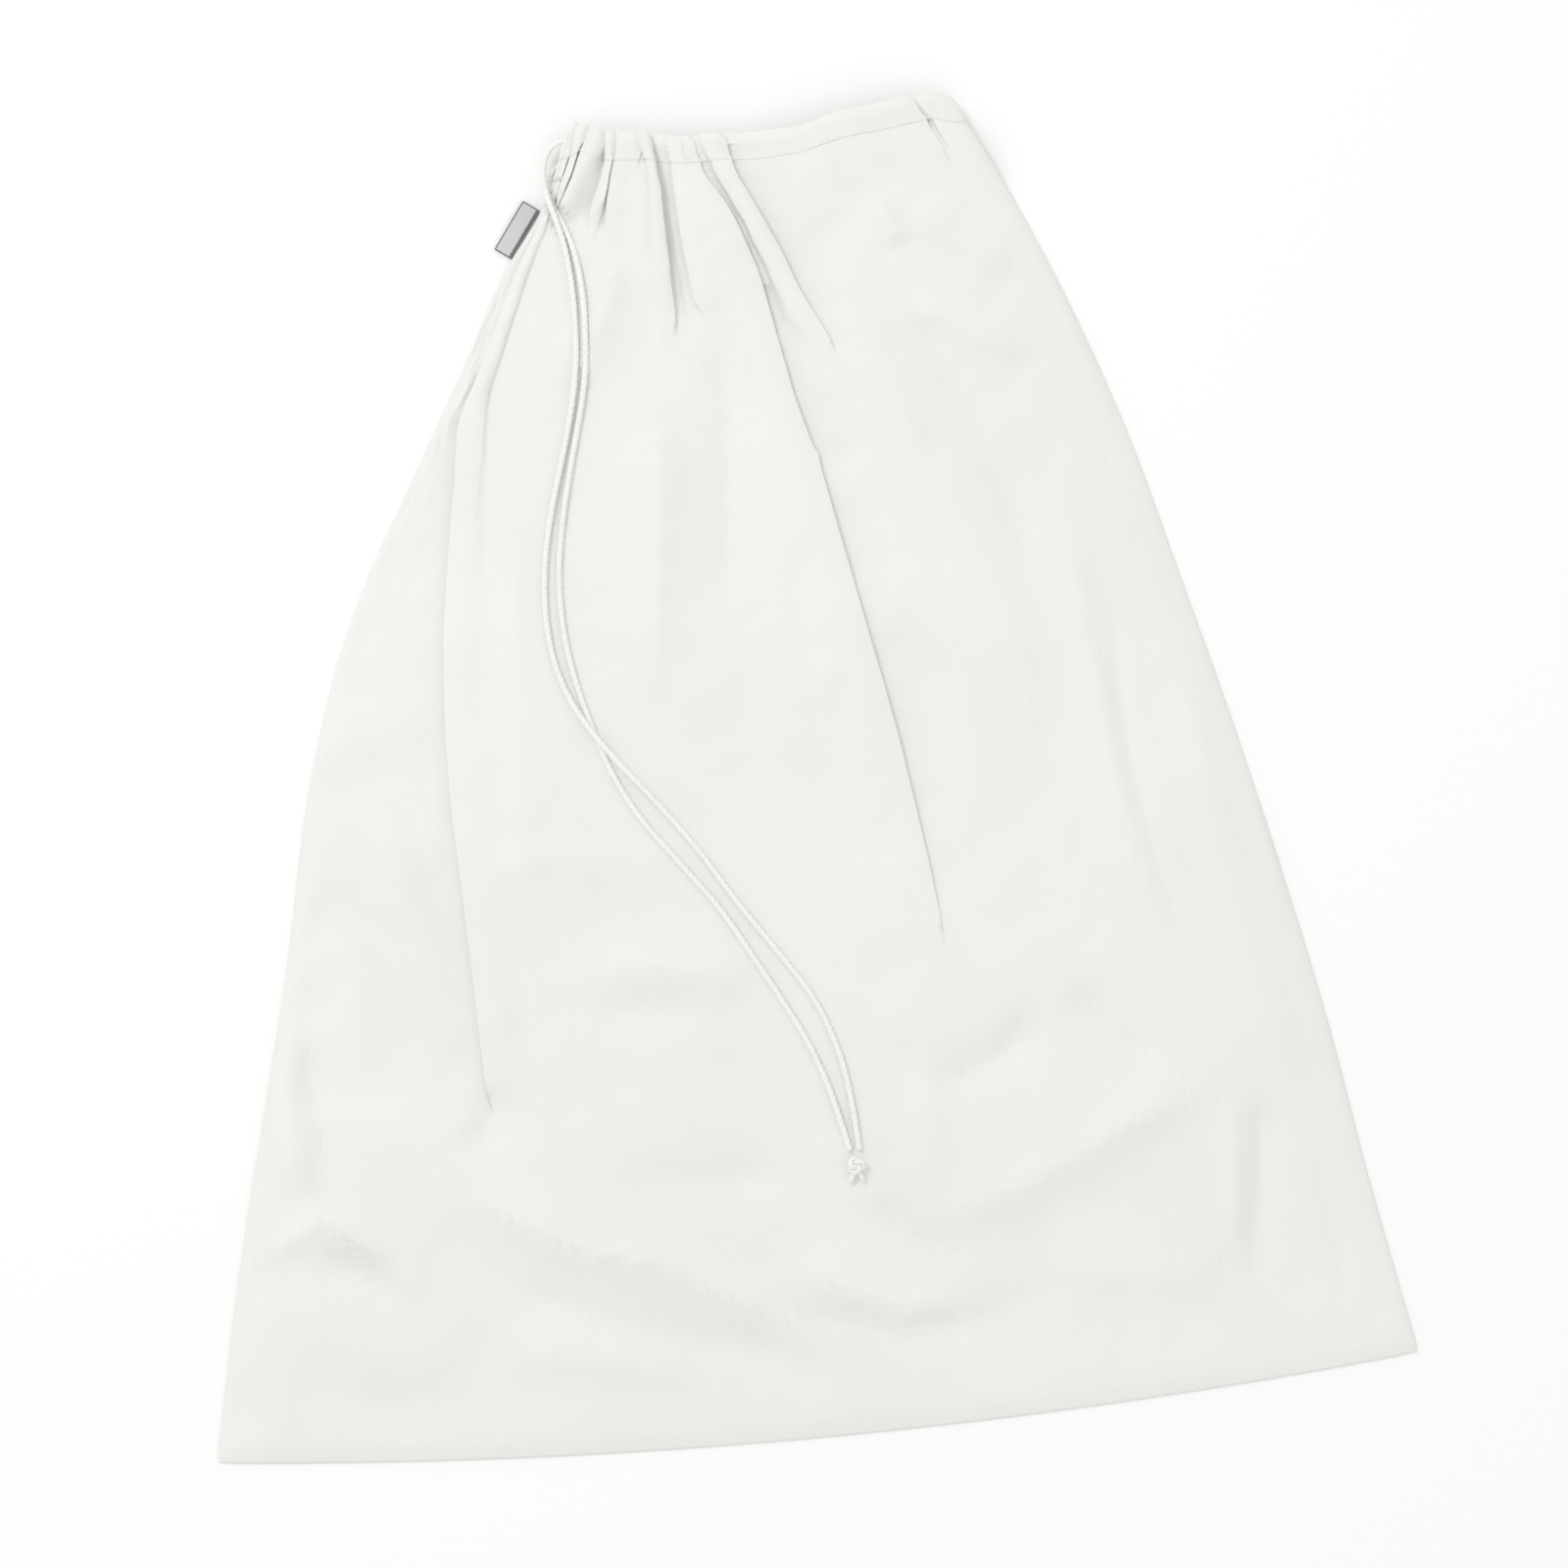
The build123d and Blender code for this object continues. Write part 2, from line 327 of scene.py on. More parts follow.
# Each fold: its line from the mouth down, how far it overlaps at a few heights (y, millimetres),
# the height between its two layers, and which side lies on top (1 left, -1 right).
frontFolds = [
    dict(path=[(-57.5, 306), (-71, 276), (-88.5, 243), (-119.5, 176), (-131.3, 114), (-136.6, 82),
               (-140.3, 41),
               (-141, 2), (-138.5, -76), (-138, -135), (-142, -300)],
         overlap=[(306, 1.5), (285, 2), (245, 6), (176, 8), (114, 5), (41, 4), (-76, 3.5),
                  (-128, 2.5), (-140, 0)],
         step=4.5, top=-1),
    dict(path=[(-53.5, 306), (-59, 293), (-66, 280), (-71.5, 268), (-84, 240), (-104, 190), (-110, 114),
               (-112, 41), (-112, -76), (-105, -300)],
         overlap=[(306, 3), (294, 4), (280, 3), (270, 0)], step=5, top=-1),
    dict(path=[(-48, 306), (-50, 298), (-56.5, 287), (-65, 274), (-73, 260), (-92, 195), (-92, 114),
               (-90, 41),
               (-88, -76), (-75, -300)],
         overlap=[(306, 3), (298, 6), (280, 6), (271, 3), (263, 0)], step=8, top=-1),
    dict(path=[(-42, 306), (-42.8, 296), (-46, 284.6), (-48.8, 275), (-53, 266), (-60, 250), (-74, 200),
               (-72, 114), (-70, 41), (-66, -76), (-50, -300)],
         overlap=[(306, 3), (292, 3.5), (270, 3.5), (259, 0)], step=5, top=-1),
    dict(path=[(-37.5, 306), (-39, 297), (-43.5, 280), (-46.5, 263), (-51, 246), (-57, 200), (-52, 114),
               (-48, 41), (-44, -76), (-28, -300)],
         overlap=[(306, 2), (292, 2), (268, 2), (254, 0)], step=2.8, top=-1),
    dict(path=[(-31, 306), (-29.5, 296), (-31, 280), (-34, 262), (-38, 200), (-30, 114), (-24, 41),
               (-18, -76),
               (-5, -300)],
         overlap=[(306, 2.5), (298, 2), (288, 0)], step=2.5, top=1),
    dict(path=[(-25.5, 306), (-22.5, 284), (-22.5, 268), (-22, 251), (-21.5, 231), (-20, 212), (-10, 114),
               (0, 41), (8, -76), (18, -300)],
         overlap=[(306, 1.5), (292, 2.5), (250, 3), (225, 2.5), (203, 0)], step=7, top=1),
    dict(path=[(-14.5, 306), (-13.5, 284), (-12.5, 265), (-11.5, 251), (-9, 223), (0, 190), (12, 114),
               (24, 41), (34, -76), (42, -300)],
         overlap=[(306, 1), (290, 1.5), (268, 2), (250, 2), (225, 1.5), (206, 0)], step=6, top=-1),
    dict(path=[(-5.5, 306), (-1.5, 286), (5.5, 272), (10.1, 260), (18.4, 231), (29.3, 176),
               (38.9, 138), (52, 73),
               (63.6, 17), (72, -36), (80.4, -92), (92, -180), (98, -300)],
         overlap=[(306, 1), (286, 2), (276, 4), (231, 5), (176, 4), (138, 5), (73, 4.5), (17, 3.5),
                  (-36, 2.5),
                  (-92, 0)], step=4, top=1),
    dict(path=[(7.5, 306), (10.6, 289), (19, 267.5), (26, 249.5), (37, 221.5), (54, 192.5), (82, 120),
               (108, 40), (130, -60), (150, -180), (156, -300)],
         overlap=[(306, 3), (289, 5), (250, 6), (222, 4), (188, 0)], step=5, top=1),
    dict(path=[(43, 306), (57, 285), (72, 250), (92, 200), (118, 120), (138, 40), (160, -60), (182, -180),
               (190, -300)],
         overlap=[(306, 0.6), (292, 0)], step=1.4, top=1),
    dict(path=[(71, 306), (80.8, 285), (98, 250), (120, 200), (144, 120), (156, 40), (166, -30),
               (190, -154),
               (206, -300)],
         overlap=[(306, 0.6), (292, 0)], step=1.4, top=1),
    dict(path=[(96, 306), (98.5, 300), (104.4, 290), (114, 275.7), (122, 262), (146, 215), (164, 150),
               (171, 90), (171.2, 33), (171.8, -12), (179.3, -57), (202.6, -154), (218, -230),
               (224, -300)],
         overlap=[(306, 3), (295, 4), (284, 2), (274, 0)], step=2.6, top=1),
    dict(path=[(106.5, 306), (125, 267), (147, 225), (167, 180), (182, 130), (200, 60), (214, -12),
               (229, -76),
               (243, -163), (248.5, -253), (252, -300)],
         overlap=[(306, 1.5), (288, 0)], step=1.4, top=-1),
]

# The lower layer's folds all have their points at the same heights.
backLevels = (306, 250, 190, 60, -100, -300)
backFolds = [dict(path=list(zip(places, backLevels)), overlap=overlap, step=step, top=top)
             for places, overlap, step, top in [
    ((-54, -78, -112, -150, -175, -190), [(306, 2), (270, 3), (190, 3), (90, 0)], 1.4, 1),
    ((-40, -52, -70, -90, -100, -112), [(306, 3), (250, 3), (170, 0)], 1.4, -1),
    ((-22, -26, -30, -34, -38, -42), [(306, 3), (260, 3), (200, 2), (120, 0)], 1.4, 1),
    ((2, 6, 10, 20, 26, 30), [(306, 3), (250, 2.5), (190, 0)], 1.3, -1),
    ((32, 42, 58, 84, 96, 110), [(306, 3), (250, 3), (180, 2), (110, 0)], 1.4, 1),
    ((62, 80, 104, 140, 160, 182), [(306, 2.5), (260, 2), (210, 0)], 1.2, 1),
    ((90, 108, 134, 176, 200, 228), [(306, 2), (270, 1.5), (230, 0)], 1.2, -1),
]]


def rowShares(coarse, fine, hem):
    # heights of the rows as shares of the side seams: wide apart low down, close together near the mouth
    fineFrom, hemFrom = 0.72, 1 - outline["casingDepth"] / outline["sideLength"]
    return np.r_[np.linspace(0, fineFrom, coarse, endpoint=False),
                 np.linspace(fineFrom, hemFrom, fine, endpoint=False), np.linspace(hemFrom, 1, hem)]


def foldPlaces(path, left, across):
    # where each row meets a fold's line: its distance from the left seam, and its height
    fine = densePath(path, 40)
    upward = np.c_[-across[:, 1], across[:, 0]]
    offset = ((fine[None] - left[:, None]) * upward[:, None]).sum(2)
    met = fine[np.argmin(np.abs(offset), axis=1)]
    return easedAverage(((met - left) * across).sum(1), 4), easedAverage(met[:, 1], 4)


foldMake = dict(
    room=0.45, halfWidth=(0.2, 7),  # each fold may take this share of the room beside it
    fullOverlap=3, stepPower=0.8,   # from this overlap on, a fold has its whole height
    depth=(1.3, 0.9, 2.9),          # how far a fold turns back: straight, rounded and at most
    crowding=1.5,                   # columns lie closer together beside the seams
    fewest=4, sagPower=2.2, mouthFrom=0.86,
)


def foldedLayer(folds, rows, column, turnSteps, mouthDrop=0.0):
    # rows of cloth between the side seams: flat stretches joined by S shaped folds;
    # column is the widest that a column of a flat stretch may be
    left, right = curveThrough(outline["left"], rows), curveThrough(outline["right"], rows)
    wide = np.linalg.norm(right - left, axis=1)
    across = (right - left) / wide[:, None]
    places, heights = zip(*[foldPlaces(f["path"], left, across) for f in folds])
    centre = np.array(places).T
    marks = np.c_[np.zeros(len(rows)), centre, wide]
    room = np.diff(marks, axis=1)
    half = np.clip(np.minimum(room[:, :-1], room[:, 1:]) * foldMake["room"], *foldMake["halfWidth"])
    overlap = np.array([easedAverage(np.interp(h, *np.array(f["overlap"][::-1]).T), 3)
                        for f, h in zip(folds, heights)]).T.clip(0)
    top = np.array([f["top"] for f in folds])
    full = np.clip(overlap / foldMake["fullOverlap"], 0, 1)
    step = np.array([f["step"] for f in folds]) * full ** foldMake["stepPower"]
    acrossPlaces, lifts, turning = [], [], []
    fromX, fromZ = np.zeros(len(rows)), np.zeros(len(rows))
    for k in range(len(folds) + 1):
        last = k == len(folds)
        toX = wide if last else centre[:, k] - half[:, k]
        toZ = np.zeros(len(rows)) if last else step[:, k] / 2 * top[k]
        steps = max(foldMake["fewest"], math.ceil((toX - fromX).max() / column))
        for i in range(steps):
            share = i / steps
            if k == 0:
                share = share ** foldMake["crowding"]
            if last:
                share = 1 - (1 - share) ** foldMake["crowding"]
            eased = 0.4 * share + 0.6 * share * share * (3 - 2 * share)
            acrossPlaces.append(fromX + (toX - fromX) * share)
            lifts.append(fromZ + (toZ - fromZ) * eased)
            turning.append(False)
        if last:
            acrossPlaces.append(toX)
            lifts.append(toZ)
            turning.append(False)
            break
        over, wing = overlap[:, k], half[:, k]
        straight, rounded, most = foldMake["depth"]
        depth = np.minimum(straight * over + rounded * np.sqrt(over * wing / 2), most * wing)
        back = (depth + wing) * np.clip(over, 0, 1) - wing
        for p in np.linspace(-1, 1, turnSteps)[:-1]:
            acrossPlaces.append(centre[:, k] - back * p + (wing + back) * p**3)
            lifts.append(-top[k] * step[:, k] / 4 * (3 * p - p**3))
            turning.append(True)
        fromX, fromZ = centre[:, k] + wing, -top[k] * step[:, k] / 2
    placesAcross, lift = np.array(acrossPlaces).T, np.array(lifts).T
    placesAcross = outline["lip"] + placesAcross * (1 - 2 * outline["lip"] / wide[:, None])
    flat = left[:, None] + across[:, None] * placesAcross[..., None]
    share = placesAcross / wide[:, None]
    # the closed end bows out, and the mouth's edge follows its own line
    bow = (1 - rows[:, None]) ** foldMake["sagPower"]
    flat[..., 1] -= outline["sag"] * bow * (1 - (2 * share - 1) ** 2)
    mouth = np.array(outline["mouth"])
    chord = left[-1, 1] + (right[-1, 1] - left[-1, 1]) * share
    level = np.interp(flat[..., 0], *mouth.T) - chord - mouthDrop
    flat[..., 1] += level * smoothStep(rows, foldMake["mouthFrom"], 1)[:, None]
    return dict(flat=flat, lift=lift, share=share, wide=wide, rows=rows, turning=np.array(turning))


# Soft rises and hollows in the upper layer: line, reach to each side and height, in millimetres.
softShapes = [
    ([(-30, 195), (-34, 135), (-40, 80), (-44, 36)], 12, 3.2),
    ([(0, 220), (2, 170), (-4, 110), (-10, 60)], 12, -2.4),
    ([(-70, 190), (-52, 215), (-40, 246)], 12, 2.2),
    ([(-100, 170), (-104, 90), (-110, 0), (-118, -90)], 15, 2.0),
    ([(36, 240), (60, 200), (98, 130), (122, 60), (135, 0)], 17, 2.6),
    ([(80, 230), (104, 180), (130, 120), (140, 40)], 14, -2.2),
    ([(78, 262), (84, 250), (88, 236)], 10, 2.0),
    ([(88, 256), (116, 236), (138, 222)], 10, 1.8),
    ([(76, 210), (104, 205), (126, 190), (140, 176)], 8, 1.8),
    ([(150, 130), (156, 60), (164, -20), (182, -90)], 12, 2.4),
    ([(196, 60), (206, -20), (222, -110), (240, -200)], 11, 2.0),
    ([(-176, 20), (-168, -40), (-157, -102), (-165, -140)], 9, 2.2),
    ([(-237, -80), (-238, -130), (-234, -180)], 9, 2.6),
    ([(-150, -40), (-100, -28), (-62, -34), (-30, -46)], 14, 1.6),
    ([(-96, -92), (-66, -82), (-34, -88), (-10, -104)], 11, 2.4),
    ([(-92, -108), (-60, -102), (-30, -110)], 9, -1.4),
    ([(60, -152), (96, -142), (122, -122)], 11, -2.6),
    ([(50, -216), (104, -200), (155, -177), (202, -158)], 12, 3.0),
    ([(-14, -222), (18, -240), (45, -253), (84, -249)], 9, 2.6),
    ([(-34, -238), (5, -253), (40, -263), (80, -262), (118, -247)], 9, -2.4),
    ([(-184, -140), (-148, -184), (-105, -211), (-62, -224), (-14, -252), (30, -280)], 10, 3.2),
    ([(-168, -188), (-131, -229), (-76, -251), (-22, -267), (24, -288)], 10, -2.4),
    ([(-250, -206), (-236, -196), (-222, -187), (-206, -199), (-190, -210)], 6, 2.4),
    ([(-226, -204), (-206, -213), (-182, -225)], 8, -2.6),
    ([(-201, 37), (-190, -40), (-172, -100), (-154, -145)], 10, -2.2),
    ([(-140, -128), (-136, -150), (-148, -164)], 7, -2.2),
    ([(-84, -176), (-40, -186), (0, -182)], 10, -1.6),
    ([(203, -166), (203, -200), (198, -245)], 6, 1.8),
    ([(215, -162), (217, -190), (213, -225), (205, -268)], 6, -2.4),
    ([(120, -240), (160, -246), (196, -250)], 14, 1.6),
    ([(130, -108), (152, -130), (176, -154)], 8, -2.0),
    ([(-60, 60), (-30, 40), (0, 46)], 11, 1.2),
    ([(-178, 60), (-160, 20), (-150, -40)], 12, 1.4),
    ([(60, 100), (96, 40), (110, -40)], 14, 1.4),
    ([(-150, -252), (-100, -262), (-50, -276)], 11, 2.0),
    ([(-250, -262), (-205, -272), (-165, -278)], 12, -2.0),
    ([(22, -160), (26, -185), (30, -210)], 14, 1.0),
]
# Sharper creases, pressed in after the cloth has settled.
creaseShapes = [
    ([(-220, -84), (-219, -136), (-216, -192)], 5.5, -5.0),
    ([(-231, -84), (-231, -136), (-226, -186)], 6.0, 3.0),
    ([(-224, -184), (-206, -198), (-188, -212)], 4.0, 1.6),
    ([(-217, -200), (-202, -212), (-184, -224)], 4.5, -1.3),
    ([(-138, -112), (-132, -138), (-143, -150), (-158, -164)], 4.0, -2.6),
    ([(-148, -184), (-105, -211), (-62, -224)], 4.0, 0.8),
    ([(36, -197), (44, -213), (60, -225), (86, -231)], 6.0, -3.2),
    ([(52, -152), (97, -143), (113, -124), (114, -108)], 5.5, -1.3),
    ([(130, -108), (152, -130), (174, -154)], 7.0, -1.0),
    ([(104, -200), (155, -177), (205, -158)], 7.0, 0.9),
    ([(215, -160), (217, -192), (213, -228), (205, -268)], 5.0, -1.8),
    ([(238, -180), (246, -230), (249, -272)], 4.5, -1.6),
    ([(170, 70), (169, 33), (172, -12), (181, -60), (197, -134)], 4.5, -2.4),
    ([(179, 70), (178, 33), (181, -12), (190, -60), (206, -134)], 6.0, 1.6),
    ([(-38, 246), (-56, 216), (-76, 192)], 6.0, 2.0),
    ([(78, 268), (84, 244), (88, 218)], 6.0, 2.2),
    ([(88, 258), (116, 236), (142, 218)], 6.0, 1.8),
    ([(50, 296), (56, 284), (60, 266)], 4.5, 1.6),
    ([(64, 298), (74, 286), (90, 276)], 4.5, 1.6),
]


def softRelief(flat, shapes):
    # smooth ridges (or hollows) along given lines, fading at both ends
    relief = np.zeros(flat.shape[:2])
    for line, reach, height in shapes:
        fine = densePath(line, 10)
        low, high = fine.min(0) - 3 * reach, fine.max(0) + 3 * reach
        near = ((flat > low) & (flat < high)).all(2)
        if not near.any():
            continue
        away = np.linalg.norm(flat[near][:, None] - fine[None], axis=2)
        closest = away.argmin(1)
        along = closest / (len(fine) - 1)
        fade = smoothStep(along, 0, 0.3) * smoothStep(1 - along, 0, 0.3)
        relief[near] += height * fade * np.exp(-(away[np.arange(len(along)), closest] / reach) ** 1.3)
    return relief


def fineRelief(flat, seed, waves, sizes, height):
    # faint crossing undulations that break up flat stretches
    draw = np.random.default_rng(seed)
    relief = np.zeros(flat.shape[:2])
    for _ in range(waves):
        turn, size = draw.uniform(0, math.pi), draw.uniform(*sizes)
        phase, bend = draw.uniform(0, 2 * math.pi), draw.uniform(0.4, 1.2)
        x = flat[..., 0] * math.cos(turn) + flat[..., 1] * math.sin(turn)
        y = flat[..., 1] * math.cos(turn) - flat[..., 0] * math.sin(turn)
        relief += 0.6 - np.abs(np.sin(x / size / 2 + phase + bend * np.sin(y / size / 2.3 + 3 * phase)))
    return relief * height / math.sqrt(waves)


frontShape = dict(lowest=2.4, seamHeight=1.0, rise=3.4, crown=7.6, crownFrom=0.24, relief=1.9,
                  reach=6, broadSwell=(4, 47), fineSwell=(1.5, 17),  # how far the edge slopes inwards
                  hemHeight=7.4, hemFrom=0.90, hemReach=30, foldFrom=5, detailFrom=16, floorFrom=14,
                  roughness=dict(seed=7, waves=14, sizes=(9, 26), height=0.22))
backShape = dict(seamHeight=0.5, lowest=0.35, lift=0.7, liftFrom=6, waveFrom=12, hemHeight=2.4,
                 hemFrom=0.955, hemLift=0.25, waves=dict(seed=11, waves=8, sizes=(14, 40), height=0.8))


def softFloor(heights, floor, softness):
    # keeps heights above the floor, and the order of layers that lie on each other
    above = np.clip((heights - floor) / softness, -30, 30)
    return floor + softness * np.log1p(np.exp(above))


def hemRise(rows, start):
    return smoothStep(rows, start, 0.975)[:, None]


def edgeDistances(layer, lip):
    # how far each point is from the nearer side seam, and from the nearest seam of all
    share, wide, rows = layer["share"], layer["wide"], layer["rows"]
    side = np.minimum(share, 1 - share) * wide[:, None] - lip
    return side, np.minimum(side, rows[:, None] * outline["sideLength"])


def frontHeights(layer):
    shape, flat, share, rows = frontShape, layer["flat"], layer["share"], layer["rows"]
    edge, inner = edgeDistances(layer, outline["lip"])
    inner = np.clip(inner, 0, None)
    (broad, broadLength), (fine, fineLength) = shape["broadSwell"], shape["fineSwell"]
    reach = shape["reach"] + broad * np.sin(flat[..., 1] / broadLength)
    reach = reach + fine * np.sin(flat[..., 1] / fineLength + 1)
    plateau = 0.6 * (1 - np.exp(-inner / reach)) + 0.4 * (1 - np.exp(-inner / 1.6))
    crown = shape["crown"] * (1 - np.abs(2 * share - 1) ** 3)
    crown = crown * smoothStep(rows, 0, shape["crownFrom"])[:, None]
    detail = shape["relief"] * softRelief(flat, softShapes) + fineRelief(flat, **shape["roughness"])
    heights = shape["seamHeight"] + shape["rise"] * plateau + crown
    detail = detail * np.clip(inner / shape["detailFrom"], 0, 1)
    heights += layer["lift"] * np.clip(edge / shape["foldFrom"], 0, 1) + detail
    hem = hemRise(rows, shape["hemFrom"])
    heights += hem * (shape["hemHeight"] - shape["seamHeight"]) * np.exp(-inner / shape["hemReach"])
    floor = shape["seamHeight"] + hem * (shape["hemHeight"] - shape["seamHeight"])
    softness = 0.1 + 1.1 * np.clip(inner / shape["floorFrom"], 0, 1)
    return softFloor(heights, floor - 0.7 * softness * (inner < shape["floorFrom"]), softness)


def creased(points, layer):
    # heights with the sharper creases, never pressed into the lower layer
    inner = edgeDistances(layer, outline["lip"])[1]
    height = points[..., 2]
    pressed = height + softRelief(points[..., :2], creaseShapes) * np.clip(inner / 10, 0, 1)
    return np.maximum(pressed, np.minimum(height, frontShape["lowest"]))


def backHeights(layer):
    shape, lift = backShape, layer["lift"]
    edge = edgeDistances(layer, 0)[1]
    waves = 0.5 * np.abs(fineRelief(layer["flat"], **shape["waves"]))
    heights = shape["seamHeight"] + waves * np.clip(edge / shape["waveFrom"], 0, 1)
    heights += (lift + shape["lift"]) * np.clip(edge / shape["liftFrom"], 0, 1)
    hem = hemRise(layer["rows"], shape["hemFrom"])
    heights = np.maximum(heights, shape["lowest"])
    return heights * (1 - hem) + shape["hemHeight"] * hem + shape["hemLift"] * lift * hem


def layerPoints(layer, heights):
    return np.dstack([layer["flat"], heights])


def clothWay(points):
    # distance along the rows and up the columns, in metres, for the weave
    around = np.linalg.norm(np.diff(points, axis=1), axis=2).cumsum(1)
    upward = np.linalg.norm(np.diff(points, axis=0), axis=2).cumsum(0)
    around = np.concatenate([np.zeros((points.shape[0], 1)), around], 1)
    upward = np.concatenate([np.zeros((1, points.shape[1])), upward], 0)
    return np.dstack([around - around[:, -1:] / 2, upward]).reshape(-1, 2) * mm


relaxMake = dict(frames=12, quality=5, mass=0.15, stiffness=25, shear=8, bending=4.0, damping=6,
                 bendingDamping=0.5, airDamping=2.0, spare=-0.010, pressure=0.3, gravity=0.0,
                 foldGrip=0.6, smoothing=2, cap=2.2)


def relaxedCloth(points, turning):
    # a short cloth simulation: the panel has a little more cloth than its outline, so it wrinkles
    rows, columns = points.shape[:2]
    piece = meshPiece("clothToRelax", points.reshape(-1, 3), gridFaces(rows, columns))
    held = piece.vertex_groups.new(name="held")
    index = np.arange(rows * columns).reshape(rows, columns)
    edges = np.zeros((rows, columns), bool)
    edges[:2] = edges[:, :2] = edges[:, -2:] = edges[-hemRows - 2:] = True
    held.add([int(i) for i in index[edges]], 1.0, "REPLACE")
    folded = np.broadcast_to(turning, (rows, columns)) & ~edges
    held.add([int(i) for i in index[folded]], relaxMake["foldGrip"], "REPLACE")
    cloth = piece.modifiers.new("Cloth", "CLOTH")
    settings = cloth.settings
    settings.quality = relaxMake["quality"]
    settings.mass = relaxMake["mass"]
    settings.tension_stiffness = settings.compression_stiffness = relaxMake["stiffness"]
    settings.shear_stiffness = relaxMake["shear"]
    settings.bending_stiffness = relaxMake["bending"]
    settings.tension_damping = settings.compression_damping = relaxMake["damping"]
    settings.shear_damping = relaxMake["damping"]
    settings.bending_damping = relaxMake["bendingDamping"]
    settings.air_damping = relaxMake["airDamping"]
    settings.shrink_min = relaxMake["spare"]
    settings.vertex_group_mass = "held"
    settings.use_pressure = True
    settings.uniform_pressure_force = relaxMake["pressure"]
    settings.effector_weights.gravity = relaxMake["gravity"]
    cloth.collision_settings.use_collision = False
    cloth.collision_settings.use_self_collision = False
    cloth.point_cache.frame_start = 1
    cloth.point_cache.frame_end = relaxMake["frames"] + 1
    scene = bpy.context.scene
    for frameNumber in range(1, relaxMake["frames"] + 1):
        scene.frame_set(frameNumber)
    moved = piece.evaluated_get(bpy.context.evaluated_depsgraph_get()).to_mesh()
    out = np.array([v.co for v in moved.vertices]).reshape(points.shape) / mm
    bpy.data.objects.remove(piece)
    scene.frame_set(1)
    shift = out - points
    # a fold travels whole, with the cloth on both sides of it
    free, every = np.flatnonzero(~turning), np.arange(columns)
    for row in range(rows):
        for axis in range(3):
            shift[row, :, axis] = np.interp(every, free, shift[row, free, axis])
    for _ in range(relaxMake["smoothing"]):  # short ripples are evened out, broad ones stay
        shift[1:-1] = (shift[:-2] + 2 * shift[1:-1] + shift[2:]) / 4
        shift[:, 1:-1] = (shift[:, :-2] + 2 * shift[:, 1:-1] + shift[:, 2:]) / 4
    far = np.linalg.norm(shift, axis=2, keepdims=True)
    print("relaxed cloth moved", round(float(far.mean()), 2), "mm, at most", round(float(far.max()), 2))
    return points + shift * np.minimum(1, relaxMake["cap"] / np.maximum(far, 1e-6))


hemRows = 12
frontRows = rowShares(98, 62, hemRows)
backRows = rowShares(60, 34, hemRows)
frontLayer = foldedLayer(frontFolds, frontRows, column=3.8, turnSteps=8)
frontPoints = layerPoints(frontLayer, frontHeights(frontLayer))
frontPoints = relaxedCloth(frontPoints, frontLayer["turning"])
frontPoints[..., 2] = creased(frontPoints, frontLayer)
backLayer = foldedLayer(backFolds, backRows, column=10, turnSteps=6, mouthDrop=4.5)
backPoints = layerPoints(backLayer, backHeights(backLayer))
print("stage: folds laid out", frontPoints.shape, backPoints.shape)


def followMouth(piece):
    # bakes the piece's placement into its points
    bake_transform(piece)


# Routes in metres, casing to knot. They lie on the upper layer and cross once.
tailARoute = [
    (-0.0585, 0.3014, 0.0078), (-0.0655, 0.3015, 0.0078), (-0.0715, 0.2965, 0.0076),
    (-0.0742, 0.288, 0.0076),
    (-0.0738, 0.279, 0.0079), (-0.0705, 0.267, 0.0091), (-0.0665, 0.251, 0.0108),
    (-0.0645, 0.225, 0.0128), (-0.0665, 0.194, 0.0141),
    (-0.0745, 0.162, 0.0146), (-0.0845, 0.131, 0.0148), (-0.091, 0.1, 0.0149), (-0.0915, 0.07, 0.0152),
    (-0.086, 0.047, 0.0172), (-0.076, 0.028, 0.0203), (-0.062, 0.009, 0.0208), (-0.046, -0.011, 0.0188),
    (-0.03, -0.033, 0.0186), (-0.016, -0.057, 0.0189), (0.002, -0.083, 0.0187), (0.017, -0.106, 0.0181),
    (0.0255, -0.131, 0.0177), (0.029, -0.154, 0.0176), (0.0301, -0.176, 0.018),
]
tailBRoute = [
    (-0.0585, 0.2918, 0.0026), (-0.0649, 0.2915, 0.0028), (-0.07, 0.2876, 0.0032),
    (-0.0722, 0.2806, 0.0038),
    (-0.0704, 0.2705, 0.0053), (-0.0648, 0.258, 0.0084), (-0.061, 0.24, 0.0116), (-0.0603, 0.218, 0.0134),
    (-0.0628, 0.19, 0.0145), (-0.07, 0.163, 0.015), (-0.078, 0.134, 0.0152), (-0.084, 0.103, 0.0154),
    (-0.0843, 0.075, 0.0157), (-0.0805, 0.05, 0.016), (-0.074, 0.026, 0.0162), (-0.067, 0.005, 0.0166),
    (-0.056, -0.016, 0.0174), (-0.04, -0.037, 0.0183), (-0.023, -0.06, 0.0187), (-0.011, -0.082, 0.0186),
    (0.001, -0.104, 0.0182), (0.0125, -0.127, 0.0177), (0.0205, -0.151, 0.0175), (0.0258, -0.176, 0.018),
]
cordMake = dict(diameter=3.0, plies=3, plyShare=0.31, twist=9.0, sides=6, ringStep=1.0,
                above=0.15, between=0.2)


def clothTree(points):
    corners = [Vector(p) for p in points.reshape(-1, 3) * mm]
    return BVHTree.FromPolygons(corners, gridFaces(points.shape[0], points.shape[1]))


